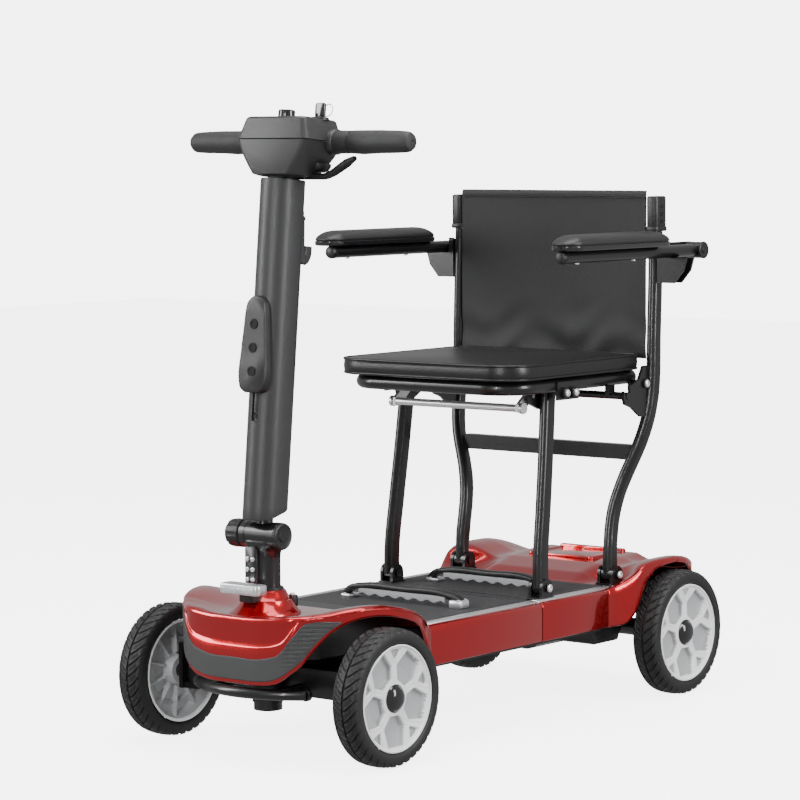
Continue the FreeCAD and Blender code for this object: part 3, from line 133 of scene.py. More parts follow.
# ---------------------------------------------------------------- mesh builders, in millimetres
def make(name, parts, mat, body, nodes=(), sharp=35, extra=(), pick=None):
    """One object from (points, faces) parts; pick(centre) chooses a face's place among mat and extra."""
    points = np.concatenate([np.asarray(p, float).reshape(-1, 3) for p, _ in parts]) * MM
    faces = []
    start = 0
    for p, f in parts:
        faces += [tuple(int(i) + start for i in face) for face in f]
        start += len(np.asarray(p).reshape(-1, 3))
    mesh = bpy.data.meshes.new(name)
    mesh.from_pydata(points.tolist(), [], faces)
    tidy = bmesh.new()
    tidy.from_mesh(mesh)
    bmesh.ops.remove_doubles(tidy, verts=tidy.verts, dist=2e-6)
    bmesh.ops.recalc_face_normals(tidy, faces=tidy.faces)
    tidy.to_mesh(mesh)
    tidy.free()
    mesh.materials.append(mat)
    for other in extra:
        mesh.materials.append(other)
    if pick:
        for face in mesh.polygons:
            face.material_index = pick(np.array(face.center) / MM)
    mesh.shade_smooth()
    mesh.set_sharp_from_angle(angle=math.radians(sharp))
    obj = bpy.data.objects.new(name, mesh)
    bpy.context.scene.collection.objects.link(obj)
    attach(obj, body)
    if nodes:
        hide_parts(*nodes)
    return obj


def skin(grid, wrap=False, caps=False):
    """Faces over a grid of points, rows by columns; wrap closes the columns."""
    grid = np.asarray(grid, float)
    rows, cols = grid.shape[:2]
    faces = []
    for i in range(rows - 1):
        for j in range(cols if wrap else cols - 1):
            k = (j + 1) % cols
            faces.append((i * cols + j, i * cols + k, (i + 1) * cols + k, (i + 1) * cols + j))
    if caps:
        faces.append(tuple(range(cols))[::-1])
        faces.append(tuple(range((rows - 1) * cols, rows * cols)))
    return grid.reshape(-1, 3), faces


def tube(rows):
    """A closed skin over rings of points, with a cap at each end."""
    return skin(rows, wrap=True, caps=True)


def lathe(profile, axis="X", at=(0, 0, 0), steps=64):
    """A turned solid; profile is (along, radius) pairs."""
    angles = np.linspace(0, 2 * math.pi, steps, endpoint=False)
    rows = []
    for along, radius in profile:
        radius = max(radius, 0.0005)
        level = np.full(steps, along)
        a, b = radius * np.cos(angles), radius * np.sin(angles)
        ring = {"X": (level, a, b), "Y": (b, level, a), "Z": (a, b, level)}[axis]
        rows.append(np.stack(ring, 1) + np.array(at))
    return tube(rows)


def bolt(at, axis, sign=1, radius=5.0, height=3.2):
    """A domed screw head standing on a face, with a hex recess ring."""
    r, h = radius, height * sign
    return lathe([(0, r), (h * 0.55, r), (h * 0.9, r * 0.78), (h, r * 0.5), (h * 0.5, r * 0.45),
        (h * 0.45, 0)],
        axis, at, 24)


def spline(points, count):
    """Points on a smooth curve through the given ones."""
    p = np.asarray(points, float)
    step = np.r_[0, np.cumsum(np.linalg.norm(np.diff(p[:, :3], axis=0), axis=1))]
    slope = np.gradient(p, step, axis=0)
    t = np.linspace(0, step[-1], count)
    i = np.clip(np.searchsorted(step, t, side="right") - 1, 0, len(p) - 2)
    h = (step[i + 1] - step[i])[:, None]
    u = ((t - step[i])[:, None]) / h
    return ((2 * u**3 - 3 * u**2 + 1) * p[i] + (u**3 - 2 * u**2 + u) * h * slope[i]
        + (3 * u**2 - 2 * u**3) * p[i + 1] + (u**3 - u**2) * h * slope[i + 1])


def sweep(path, section, up=(0, 0, 1), scale=None, closed=False):
    """A section (a, b) carried along a path; b stays towards up."""
    path = np.asarray(path, float)
    section = np.asarray(section, float)
    ahead = np.roll(path, -1, 0) - np.roll(path, 1, 0)
    if not closed:
        ahead[0] = path[1] - path[0]
        ahead[-1] = path[-1] - path[-2]
    rows = []
    for n, (point, way) in enumerate(zip(path, ahead)):
        way = way / np.linalg.norm(way)
        side = np.cross(way, up)
        side = side / np.linalg.norm(side)
        top = np.cross(side, way)
        size = 1 if scale is None else scale[n]
        rows.append(point + size * (section[:, :1] * side + section[:, 1:] * top))
    if closed:
        rows.append(rows[0])
    return skin(rows, wrap=True, caps=not closed)


def circle(radius, steps=20, flat=1.0):
    a = np.linspace(0, 2 * math.pi, steps, endpoint=False)
    return np.stack([radius * np.cos(a), radius * flat * np.sin(a)], 1)


def plate(half_x, half_y, corner, steps=6):
    """A rounded rectangle outline about the origin."""
    points = []
    for sx, sy, start in ((1, 1, 0), (-1, 1, 90), (-1, -1, 180), (1, -1, 270)):
        for k in range(steps + 1):
            a = math.radians(start + 90 * k / steps)
            points.append((sx * (half_x - corner) + corner * math.cos(a),
                sy * (half_y - corner) + corner * math.sin(a)))
    return np.array(points)


def slab(low, high, corner=3.0, edge=1.0, axis=2):
    """A block with rounded corners about one axis and softened edges at both faces."""
    low, high = np.array(low, float), np.array(high, float)
    a, b = [k for k in range(3) if k != axis]
    mid, half = (low + high) / 2, (high - low) / 2
    rows = []
    for along, inset in ((low[axis], edge), (low[axis] + edge * 0.3, edge * 0.3), (low[axis] + edge, 0),
            (high[axis] - edge, 0), (high[axis] - edge * 0.3, edge * 0.3), (high[axis], edge)):
        flat = plate(half[a] - inset, half[b] - inset, max(corner - inset, 0.2))
        ring = np.zeros((len(flat), 3))
        ring[:, a] = flat[:, 0] + mid[a]
        ring[:, b] = flat[:, 1] + mid[b]
        ring[:, axis] = along
        rows.append(ring)
    return tube(rows)


def leaning(part):
    """Tiller parts are built upright about the fold hinge and then leaned back."""
    points, faces = part
    p = np.asarray(points, float).reshape(-1, 3)
    c, s = math.cos(LEAN), math.sin(LEAN)
    return np.stack([p[:, 0], HINGE[1] + p[:, 1] * c + p[:, 2] * s,
        HINGE[2] - p[:, 1] * s + p[:, 2] * c], 1), faces


def lean_all(parts):
    return [leaning(part) for part in parts]


def flipped(part):
    """The same part on the other side."""
    points, faces = part
    return np.asarray(points, float).reshape(-1, 3) * (-1, 1, 1), [face[::-1] for face in faces]


def both(part):
    return [part, flipped(part)]


def ease(low, high, value):
    t = np.clip((np.asarray(value, float) - low) / (high - low), 0, 1)
    return t * t * (3 - 2 * t)


def side_of(polygon, points):
    """Signed distance to a polygon, negative inside."""
    polygon = np.asarray(polygon, float)
    best = np.full(points.shape[:-1], 1e9)
    inside = np.zeros(points.shape[:-1], bool)
    for a, b in zip(polygon, np.roll(polygon, -1, 0)):
        edge = b - a
        rel = points - a
        t = np.clip((rel @ edge) / (edge @ edge), 0, 1)
        best = np.minimum(best, np.linalg.norm(rel - t[..., None] * edge, axis=-1))
        crosses = (a[1] > points[..., 1]) != (b[1] > points[..., 1])
        where = a[0] + (points[..., 1] - a[1]) * edge[0] / (edge[1] if edge[1] else 1e-9)
        inside ^= crosses & (points[..., 0] < where)
    return np.where(inside, -best, best)


# ---------------------------------------------------------------- wheels, built about their own centre
BLOCKS = 38
BLOCK_STEPS = (0, 0.05, 0.16, 0.28, 0.36, 0.52, 0.68, 0.86)


def tyre_part():
    """Tread of slanted blocks each side of a centre groove, shoulder lugs and lined side walls."""
    section = [(19.0, 77.8), (20.5, 79), (21.6, 81.5), (21.9, 82.2), (22.3, 84), (22.4, 84.6), (22.5, 86.5),
        (22.4, 89), (22.0, 91.5), (21.2, 94), (20.4, 95.6), (19.4, 96.8), (18.0, 97.9), (16.4, 98.6),
        (14.6, 99.0), (14.0, 99.1), (12.0, 99.4), (9.5, 99.6), (7.0, 99.8), (4.6, 99.9), (3.0, 100),
        (1.9, 100), (1.2, 100), (0.6, 100)]
    section = [(-x, r) for x, r in section] + [(0, 100)] + section[::-1]
    turns = np.array([(k + step) / BLOCKS for k in range(BLOCKS) for step in BLOCK_STEPS])
    groove = np.array([1, 1, 0, 0, 0, 0, 0, 0] * BLOCKS, float)
    second = np.array([0, 0, 0, 0, 1, 1, 0, 0] * BLOCKS, float)
    rows = []
    for x, r in section:
        a = abs(x)
        shear = 0.55 * (a / 22) ** 1.4 / BLOCKS * 2.2
        turn = turns + shear + (0.5 / BLOCKS if x < 0 else 0)
        depth = groove * 2.3 * ease(1.0, 2.6, a) * (1 - ease(20.8, 22.3, a))
        depth = depth + second * 1.3 * ease(5.5, 7.5, a) * (1 - ease(13.5, 15, a))
        depth = depth + (2.4 if a < 1.4 else 0) + (1.2 if 13.6 < a < 14.9 else 0)
        radius = r - np.where(r > 88, depth, 0)
        angle = 2 * math.pi * turn
        rows.append(np.stack([np.full(len(angle), x), radius * np.sin(angle), radius * np.cos(angle)], 1))
    inner = [np.stack([np.full(len(turns), x), 77.8 * np.sin(2 * math.pi * turns),
        77.8 * np.cos(2 * math.pi * turns)], 1) for x in (19.0, -19.0)]
    return skin(rows + inner, wrap=True)


def rim_face():
    """The dished outer face: five Y spokes between deep pockets, with a bright ring round it."""
    radii = np.r_[8.1, 14, 19, 21, np.linspace(22.5, 72.4, 58), 73.2, 74.2, 74.6, 75.4, 76.6, 77.3, 77.6]
    angles = np.linspace(0, 2 * math.pi, 400, endpoint=False)
    r, a = np.meshgrid(radii, angles, indexing="ij")
    fold = (a + math.radians(36)) % math.radians(72) - math.radians(36)
    flat = np.stack([r * np.cos(fold), np.abs(r * np.sin(fold))], -1)
    face = np.interp(r, [8, 22, 48, 72.4, 74.2, 74.7, 76.6, 77.7],
        [15.5, 15.5, 14.6, 18.2, 19.0, 21.4, 21.5, 20.4])

    def spot(ratio, degrees):
        turn = math.radians(degrees)
        return (ratio * RIM_RADIUS * math.cos(turn), ratio * RIM_RADIUS * math.sin(turn))

    # the stem is at zero degrees and each pocket is centred at 36
    pocket = [spot(0.37, 15), spot(0.37, 57), spot(0.61, 63.5), spot(0.91, 49.5), spot(0.91, 22.5),
        spot(0.61, 8.5)]
    lens = [spot(0.73, 0), spot(0.905, -8.0), spot(0.905, 8.0)]
    in_pocket = np.minimum(side_of(pocket, flat), side_of([(x, -y) for x, y in pocket], flat)) - 1.2
    in_lens = side_of(lens, flat) - 1.0
    depth = 8.5 * ease(0.8, -1.6, in_pocket) + 6.0 * ease(0.7, -1.2, in_lens)
    stem = np.where(flat[..., 0] < 46, np.abs(flat[..., 1]), 99)
    start, end = np.array(spot(0.60, 0)), np.array(spot(0.90, 15.5))
    rel = flat - start
    t = np.clip((rel @ (end - start)) / ((end - start) @ (end - start)), 0, 1)
    arm = np.linalg.norm(rel - t[..., None] * (end - start), axis=-1)
    line = np.minimum(np.where(r > 27, stem, 99), arm)
    depth = depth + 0.7 * (1 - ease(0.5, 1.5, line)) * (depth < 0.2)
    return np.stack([face - depth, r * np.sin(a), r * np.cos(a)], -1), depth


def rim_back():
    """The inner side: a barrel with ten ribs round a hub boss."""
    radii = np.r_[11.2, 15, 20, 21.5, np.linspace(24, 66, 16), 69, 71.5, 73, 73.6, 75.5, 77.6]
    angles = np.linspace(0, 2 * math.pi, 360, endpoint=False)
    r, a = np.meshgrid(radii, angles, indexing="ij")
    depth = np.interp(r, [11, 20, 21.5, 24, 66, 71.5, 73.6, 77.7], [-17, -17, -15, -1, 2, -6, -21, -21.5])
    rib = np.abs((a + math.radians(18)) % math.radians(36) - math.radians(18)) * r
    ring = np.abs(r - 50)
    raise_by = np.maximum(1 - ease(1.2, 2.6, rib), 0.7 * (1 - ease(1, 2.5, ring)))
    depth = depth - 9 * raise_by * ease(22, 26, r) * (1 - ease(66, 72, r))
    return np.stack([depth, r * np.sin(a), r * np.cos(a)], -1)


def build_wheel(end, side):
    sign = 1 if side == "left" else -1
    y = AXLE_Y if end == "rear" else -AXLE_Y
    tag = f"{end}_{side}"
    body = f"wheel_{tag}"

    def place(part):
        points, faces = part
        points = np.asarray(points, float).reshape(-1, 3) * (sign, 1, 1) + (sign * WHEEL_X, y, WHEEL_Z)
        return points, faces

    make(f"tread_tyre_{tag}", [place(tyre_part())], TYRE, body, [f"tyre_{tag}"], sharp=28)
    grid, depth = rim_face()
    front = skin(grid, wrap=True)
    back = skin(rim_back(), wrap=True)
    low = face_depths(grid, depth)

    # faces on the pocket floors get the second material, a darker grey of painted shade
    def pick(centre):
        rel = centre - (sign * WHEEL_X, y, WHEEL_Z)
        along = sign * rel[0]
        r = math.hypot(rel[1], rel[2])
        return 1 if (along < low(r) and r < 73) else 0

    make(f"spoked_rim_{tag}", [place(front), place(back)], RIM, body, [f"rim_{tag}"],
        sharp=50, extra=(RIM_POCKET_SHADE,), pick=pick)
    cap = [(13.5, 20.4), (15.5, 20.5), (16.6, 20.3), (17.4, 19.0), (18.6, 17.8), (21.5, 15.2), (23.6, 10.5),
        (24.4, 5), (24.6, 0)]
    make(f"hub_cap_{tag}", [place(lathe(cap, steps=48))], GLOSS, body,
        [f"hub_{tag}"] if end == "front" else [])
    if end == "rear":
        shaft = lathe([(-160, 8), (14, 8)], steps=32)
        make(f"half_shaft_{tag}", [place(shaft)], STEEL, body, [f"hub_{tag}"])


def face_depths(grid, depth):
    """Axial height under which a face of the rim is a pocket floor, by radius; those faces take the painted
    shade grey.
    """
    radius = np.hypot(grid[:, 0, 1], grid[:, 0, 2])
    top = (grid[..., 0] + depth).max(1)
    return lambda r: float(np.interp(r, radius, top)) - 3.0


for wheel_end in ("front", "rear"):
    for wheel_side in ("left", "right"):
        build_wheel(wheel_end, wheel_side)


# ---------------------------------------------------------------- red shells
def shell_grid(table, walls, spine, middle, bulge, count=96):
    """Columns round half a plan outline: a wall whose rows come from walls(row), then the top to the spine.

    table rows are x, y and heights; the last height is the shoulder's.
    """
    line = spline([(row[0], row[1], 0, *row[2:]) for row in table], count)
    flat = line[:, :2]
    way = np.gradient(flat, axis=0)
    out = np.stack([way[:, 1], -way[:, 0]], 1)
    out = out / np.linalg.norm(out, axis=1)[:, None]
    if out[-1, 0] < 0:
        out = -out
    out[0] = (0, out[0, 1] / abs(out[0, 1]))
    columns = []
    for (x, y), n, row in zip(flat, out, line[:, 3:]):
        shoulder = row[-1]
        points = [(x + n[0] * off, y + n[1] * off, z) for z, off in walls(row, x, y)]
        for inset, drop in ((1.2, 2.6), (3.4, 0.7), (6.5, 0)):
            points.append((x - n[0] * inset, y - n[1] * inset, shoulder - drop))
        edge = np.array(points[-1][:2])
        goal = np.array([0.0, spine(y)])
        for s in np.linspace(0, 1, 26)[1:]:
            px, py = edge + (goal - edge) * s
            weight = 1 - ease(0.02, bulge(y), s)
            base = middle(px, py)
            points.append((px, py, base + (shoulder - base) * weight))
        columns.append(points)
    half = np.array(columns)
    return np.concatenate([(half * (-1, 1, 1))[:0:-1], half])


# x, y, lip, band foot, band top, crease, shoulder
NOSE = [(0, -468, 112, 118, 151, 167.5, 210), (50, -467, 113, 119, 152, 169, 211),
    (65, -465.5, 115, 121, 155, 171, 212), (80, -463.5, 119, 126, 160, 175, 213.5),
    (88, -462, 124, 130, 167, 179, 214.5), (97, -459, 131, 137, 180, 190, 215),
    (106, -453.5, 138, 145, 192, 205, 215.5), (114, -446, 147, 155, 204, 210, 216),
    (121, -438, 160, 168, 207, 212, 216.5), (131, -428, 176, 183, 208, 213, 218),
    (139, -420, 187, 193, 208, 213.6, 219), (151, -406, 199, 204, 207.5, 216, 222),
    (161, -388, 206.5, 210, 214, 219, 224.6),
    (171, -364, 210, 214, 218, 222, 226), (179, -340, 209.5, 213, 217, 221, 225),
    (185, -315, 205, 208, 213, 217, 220.5), (187, -293, 199, 203, 208, 212, 215),
    (185, -270, 189, 194, 199, 203, 207), (180, -252, 175, 181, 188, 193, 197),
    (176.5, -240, 156, 166, 175, 182, 188), (175, -229, 126, 142, 160, 173, 181)]


def nose_walls(row, x, y):
    lip, foot, top, crease, shoulder = row
    deep = 1.6 * (1 - ease(104, 112, abs(x)))
    rows = [(lip + 1.5, -5), (lip, -2.4), (lip + 0.8, -0.6), (lip + 2.6, 0), (foot, 0)]
    rows += [(foot + (top - foot) * k / 5, 0) for k in (1, 2, 3, 4, 5)]
    rows += [(crease - 1.6, 0), (crease - 0.4, -0.3 * deep), (crease + 0.9, -deep)]
    rows += [(crease + (shoulder - 5 - crease) * k / 5, -deep * (1 - 0.5 * ease(3, 5, k))) for k in (1, 2, 3,
        4)]
    rows += [(max(shoulder - 6, crease + 1.5), -deep * 0.4)]
    return rows


def nose_middle(x, y):
    return float(np.interp(y, [-440, -392, -350, -310, -285, -262, -244, -229],
        [208.5, 206, 205, 203, 200.5, 195, 187, 181.5]))


def nose_spine(y):
    return float(np.interp(y, [-468, -440, -229], [-442, -424, -229]))


TAIL = [(0, 472.5, 130, 190), (60, 472, 130, 190), (112, 470.5, 134, 190.5), (146, 467, 144, 192),
    (168, 461, 156, 197), (184, 448, 178, 205), (193, 425, 199, 213.5), (197, 395, 208.5, 219),
    (198, 362, 210, 220), (197.5, 335, 206.5, 219.5), (196.8, 315, 198.5, 217.5), (196, 299, 184, 214),
    (195, 287, 164, 208.5), (192.5, 277, 143, 202), (188, 265, 128, 195.5), (182, 251, 122.5, 189),
    (177, 237, 121.5, 184), (175, 224, 121.5, 182)]


def tail_walls(row, x, y):
    lip, shoulder = row
    rows = [(lip + 1.5, -5), (lip, -2.4), (lip + 0.8, -0.6), (lip + 2.6, 0)]
    rows += [(lip + (shoulder - 6 - lip) * k / 8, 0) for k in range(1, 8)]
    rows += [(shoulder - 6, 0)]
    return rows


def tail_middle(x, y):
    """A raised middle that climbs from the deck, and shallow valleys between it and the fenders."""
    inner = np.interp(y, [238, 248, 275, 320, 380, 432, 472], [181.5, 184, 196, 206, 211, 212, 192])
    outer = np.interp(y, [238, 284, 300, 320, 380, 472], [181.5, 182, 190, 200, 203, 191])
    share = ease(84, 122, abs(x))
    return float(inner * (1 - share) + outer * share)


def tail_bulge(y):
    """How far in towards the middle the rear fender's swell reaches."""
    return float(np.interp(y, [238, 286, 325], [0.09, 0.12, 0.42]))


def tail_spine(y):
    return float(np.interp(y, [224, 440, 472], [224, 420, 448]))


def thicken(obj, depth):
    solid = obj.modifiers.new("wall", "SOLIDIFY")
    solid.thickness = depth * MM
    solid.offset = -1
    return obj


def outward(obj, probe):
    """Turn an open skin so that its face nearest to the probe points away from the model's middle."""
    mesh = obj.data
    probe = Vector(probe) * MM
    near = min(mesh.polygons, key=lambda face: (face.center - probe).length)
    if near.normal.dot(near.center - Vector((0, 0, 0.1))) < 0:
        mesh.flip_normals()
    return obj


def deck_run(y_low, y_high):
    """The deck's side skirts and top border between two places."""
    half = [(171.5, 122.6), (173.4, 122), (174.6, 122.8), (175, 125), (175, 134), (175, 150), (175, 166),
        (174.8, 175), (173.6, 179.2), (171, 181.4), (167.5, 182), (160, 182), (140, 180.2), (60, 180),
        (0, 180)]
    line = [(-x, z) for x, z in half] + [(x, z) for x, z in half[-2::-1]]
    soft = [(0.0, 0.8), (0.6, 0.25), (1.6, 0)]
    places = [(y_low + a, b) for a, b in soft] + [(y_high - a, b) for a, b in soft[::-1]]
    rows = []
    for y, pull in places:
        rows.append([(x * (1 - pull / 175), y, z - (pull if z > 150 else -pull)) for x, z in line])
    return skin(rows)


def build_shells():
    nose = make("nose_and_front_fenders", [skin(shell_grid(NOSE, nose_walls, nose_spine, nose_middle,
        lambda y: 0.62))],
        RED, "chassis", ["front_shell"], sharp=60)
    thicken(outward(nose, (0, -468, 190)), 2.4)
    front = make("front_deck_shell", [deck_run(-236, 47.4)], RED, "chassis")
    thicken(outward(front, (175, -100, 150)), 2.4)
    rear = make("rear_deck_shell", [deck_run(48.6, 236)], RED, "chassis")
    thicken(outward(rear, (175, 150, 150)), 2.4)
    tail = make("tail_and_rear_fenders", [skin(shell_grid(TAIL, tail_walls, tail_spine, tail_middle,
        tail_bulge))],
        RED, "chassis", ["rear_shell"], sharp=60)
    thicken(outward(tail, (0, 472, 160)), 2.4)
    liner = [slab((-117, -424, 150), (117, -232, 198), 20, 3),
        slab((-168, -232, 126), (168, -214, 176), 3, 2),
        slab((-150, 262, 128), (150, 462, 178), 20, 3)]
    make("inner_liners", liner, BLACK_PLASTIC, "chassis")


def build_band():
    """Grey band round the nose: flat and finely grained in front, with ribbed arms that rise to a point."""
    line = spline([(r[0], r[1], 0, *r[2:]) for r in NOSE[:12]], 120)
    flat = line[:, :2]
    way = np.gradient(flat, axis=0)
    out = np.stack([way[:, 1], -way[:, 0]], 1)
    out = out / np.linalg.norm(out, axis=1)[:, None]
    out[0] = (0, -1)
    columns = []
    for (x, y), n, row in zip(flat, out, line[:, 3:]):
        foot, top = row[1], row[2]
        arm = ease(84, 96, x)
        points = []
        for k in np.linspace(0, 1, 49):
            z = foot + (top - foot) * k
            rim_in = min(k, 1 - k) * (top - foot)
            off = 1.5 * ease(-0.3, 1.2, rim_in)
            if arm > 0.05 and rim_in > 1.5:
                off = off - 0.7 * arm * (1 if (z % 6.2) < 1.2 else 0)
            points.append((x + n[0] * off, y + n[1] * off, z))
        columns.append(points)
    half = np.array(columns)
    grid = np.concatenate([(half * (-1, 1, 1))[:0:-1], half])
    band = make("grey_bumper_band", [skin(grid)], BAND, "chassis", ["bumper_trim"], sharp=40)
    outward(band, (0, -468, 135))


def build_front_parts():
    cone_rows = [(205, 50), (209, 49), (212, 45.5), (217, 41.5), (224, 38), (226.5, 37), (227, 34.5),
        (232, 31),
        (238, 28), (240, 26.5), (241, 24), (240, 21)]
    points, faces = lathe(cone_rows, "Z", (0, 0, 0), 72)
    points = points.copy()
    ahead = points[:, 1] < 0
    stretch = 1 + 0.32 * (1 - ease(205, 236, points[:, 2]))
    points[ahead, 1] *= stretch[ahead]
    make("steering_collar_cone", [(points + (0, STEM_Y, 0), faces)], RED, "chassis",
        ["steering_collar"], sharp=30)
    make("stem_gaiter", [lathe([(238, 25), (243, 24.5), (244.5, 22.5), (245, 20.2)], "Z", (0, STEM_Y, 0),
        48)],
        BLACK_PLASTIC, "chassis")
    make("collar_latch", [slab((17, -371, 214), (33, -359, 231), 4, 1.5)], BLACK_PLASTIC, "chassis")
    make("collar_latch_screw", [bolt((25, -365, 231), "Z", 1, 4)], STEEL, "chassis")
    make("lamp_bezel", [slab((-37, -457, 239), (37, -431, 254), 7, 2.2)], TRIM, "chassis",
        ["headlight_housing"])
    make("lamp_bracket", [slab((-14, -440, 226), (14, -414, 241), 5, 1.5)], BLACK_PLASTIC, "chassis")
    xs = np.linspace(-32, 32, 161)
    rows = []
    for z, pull in ((240.5, 3.4), (241.6, 1.4), (243, 0.4), (246.5, 0), (250, 0.4), (251.4, 1.4),
            (252.5, 3.4)):
        edge = np.maximum(0, np.abs(xs) - 27) ** 2 * 0.12
        rows.append(np.stack([xs, -460 + pull + edge + 0.35 * np.cos(xs * 2 * math.pi / 3.2),
            np.full(161, z)], 1))
    lens = make("lamp_lens", [skin(rows)], LENS, "chassis", ["headlight_lens"], sharp=60)
    outward(lens, (0, -460, 246))
    arc = [(x, -466 + 160 - math.sqrt(160**2 - x * x), 100) for x in np.linspace(-103, 103, 41)]
    bar = sweep(arc, circle(8, 24), (0, 0, 1))
    arms = both(slab((52, -452, 94), (64, -388, 106), 2, 1.5, axis=1))
    ends = both(lathe([(-4, 8), (-3, 9), (3, 9), (4, 8)], "Y", (103, -427, 100), 24))
    make("front_tube_bumper", [bar, *arms, *ends], BLACK_METAL, "chassis",
        ["front_bumper_bar"])


def ribbed(low, high, pitch=7.0, face=185.0):
    """A mat with ribs across the deck and a flat rim."""
    ys = [low, low + 0.5, low + 1.5, low + 9]
    zs = [face - 5, face - 1, face, face]
    y = low + 12
    while y < high - 14:
        for shift, z in ((0, face), (0.5, face - 1.3), (1.9, face - 1.3), (2.4, face)):
            ys.append(y + shift)
            zs.append(z)
        y += pitch
    ys += [high - 9, high - 1.5, high - 0.5, high]
    zs += [face, face, face - 1, face - 5]
    rows = []
    for y, z in zip(ys, zs):
        row = []
        for x, drop in ((-150, 5), (-149.5, 1), (-148.5, 0), (-141, 0), (-140, 0)):
            row.append((x, y, min(z if abs(x) < 141 else face, face - drop)))
        row += [(x, y, z) for x in (-100, -50, 0, 50, 100)]
        row += [(-p[0], p[1], p[2]) for p in row[4::-1]]
        rows.append(row)
    return skin(rows)


def build_deck():
    mats = [ribbed(-227, 44), ribbed(52, 241)]
    outward(make("ribbed_mats", mats, MAT, "chassis", ["deck_mats"], sharp=30), (0, 0, 186))
    strips = []
    for low, high in ((-226, 46), (50, 243)):
        strips += both(slab((151.8, low, 180.2), (166, high, 184.6), 2, 1.2, axis=1))
    make("silver_side_strips", strips, TRIM, "chassis", ["deck_trim_strips"])
    bars, wave, blocks, screws = [], [], [], []
    for y in (-84.0, 130.0):
        path = spline([(-104, y, 190), (-94, y, 199), (-72, y, 203.5), (10, y, 205), (92, y, 203.5),
            (114, y, 198),
            (122, y, 192)], 40)
        bars.append(sweep(path, plate(8.5, 4.6, 3.4, 4), (0, 0, 1)))
        xs = np.linspace(-74, 94, 150)
        lower = 192.5 + 1.7 * np.cos((xs - 10) * 2 * math.pi / 25.3)
        rows = []
        for a, b in ((-7.5, 1), (-8.5, 0.5), (-8.5, 0), (-7.0, -0.4), (6.0, -0.4), (7.5, 0), (7.5, 0.5),
                (6.5, 1)):
            z = lower + (201 - lower) * max(b, 0) + (-1.2 if b < 0 else 0)
            rows.append(np.stack([xs, np.full(150, y + a), z], 1))
        wave.append(skin(np.array(rows).transpose(1, 0, 2), wrap=True, caps=True))
        blocks.append(slab((103, y - 13, 185), (127, y + 13, 197.5), 5, 3))
        blocks.append(slab((-108, y - 13, 185), (-84, y + 13, 190), 5, 1.6))
        screws += [bolt((120, y + s * 8, 197.2), "Z", 1, 2.6, 1.4) for s in (1, -1)]
        screws += [bolt((-101, y + s * 8, 189.8), "Z", 1, 2.6, 1.4) for s in (1, -1)]
    make("carry_handle_bars", bars, BLACK_PLASTIC, "chassis", ["carry_handles"])
    make("carry_handle_finger_grips", wave, GREY, "chassis")
    make("carry_handle_ends", blocks, TRIM, "chassis", ["handle_blocks"])
    make("carry_handle_screws", screws, STEEL, "chassis")


def build_rear_details():
    """The framed hollow in the tail's top and the cover under the deck ahead of the axle."""
    far = slab((-64, 424, 207), (64, 436, 216.5), 4, 3)
    sides = both(slab((54, 336, 203), (64, 430, 213.5), 4, 3))
    make("tail_well_frame", [far, *sides], RED, "chassis")
    make("tail_well_floor", [slab((-54, 336, 203), (54, 426, 212.4), 3, 1)], RED, "chassis")
    cover = slab((-146, 216, 90), (146, 312, 123), 8, 5, axis=0)
    points, faces = cover
    points = points.copy()
    low = points[:, 2] < 105
    points[low, 1] = 258 + (points[low, 1] - 258) * 0.72
    make("drive_cover", [(points, faces)], BLACK_PLASTIC, "chassis")


build_shells()
build_band()
build_front_parts()
build_deck()
build_rear_details()


# ---------------------------------------------------------------- stem and tiller
def build_stem():
    """A plain post that runs into the round hinge barrel, with a screwed plate on its front."""
    shaft = lathe([(63, 17), (239, 17), (239.2, 20), (300, 20), (306, 20.5)], "Z", (0, STEM_Y, 0), 56)
    rows = []
    for z, half, reach, shift in ((285, 19.9, 19.9, 0), (294, 21, 20, 0), (301, 26, 20, -2),
            (306, 32, 20, -4),
            (310, 33.6, 19.6, -5.5), (313, 33.6, 18.2, -6)):
        ring = plate(half, reach, min(19.5, reach - 0.2), 8)
        rows.append(np.c_[ring[:, 0], ring[:, 1] + STEM_Y + shift, np.full(len(ring), z)])
    saddle = tube(rows)
    cheeks = both(lathe([(22.4, 19.0), (22.6, 20), (32.8, 20), (33.4, 19.4)], "X", (0, HINGE[1], HINGE[2]),
        56))
    pin = lathe([(-48, 8), (38, 8)], "X", (0, HINGE[1], HINGE[2]), 32)
    make("steering_post", [shaft, saddle, *cheeks, pin], BLACK_METAL, "stem",
        ["steering_stem"])
    make("stem_plate", [slab((-20, -418, 246), (2, -405, 304), 4, 1.5, axis=1)], BLACK_METAL, "stem")
    screws = [bolt((x, -418, z), "Y", -1, 3.6, 3) for z in (256, 271, 286) for x in (-14, -4)]
    make("stem_plate_screws", screws, STEEL, "stem")
    knob = [(34.4, 14), (34.6, 19), (36, 20.8), (44, 21.2), (52, 21.2), (58, 20.2), (61, 17), (62.2, 11),
        (62.6, 0)]
    points, faces = lathe(knob, "X", (0, 0, 0), 96)
    points = points * (-1, 1, 1)
    r = np.hypot(points[:, 1], points[:, 2])
    a = np.arctan2(points[:, 1], points[:, 2])
    flute = 1 - 0.06 * np.clip(np.cos(a * 8), 0.2, 1) * ease(15, 20, r) * ease(-36, -42, points[:, 0])
    points = points * np.stack([np.ones_like(flute), flute, flute], 1) + (0, HINGE[1], HINGE[2])
    make("fold_knob_cap", [(points, faces)], BLACK_PLASTIC, "fold_knob", ["fold_knob"])
    disc = [(33.4, 19.6), (35, 20), (37.5, 19.2), (38.2, 17), (37.2, 14), (37.2, 8.5), (38.6, 8), (38.8, 0)]
    make("hinge_end_disc", [lathe(disc, "X", (0, HINGE[1], HINGE[2]), 48)], BLACK_PLASTIC, "stem")


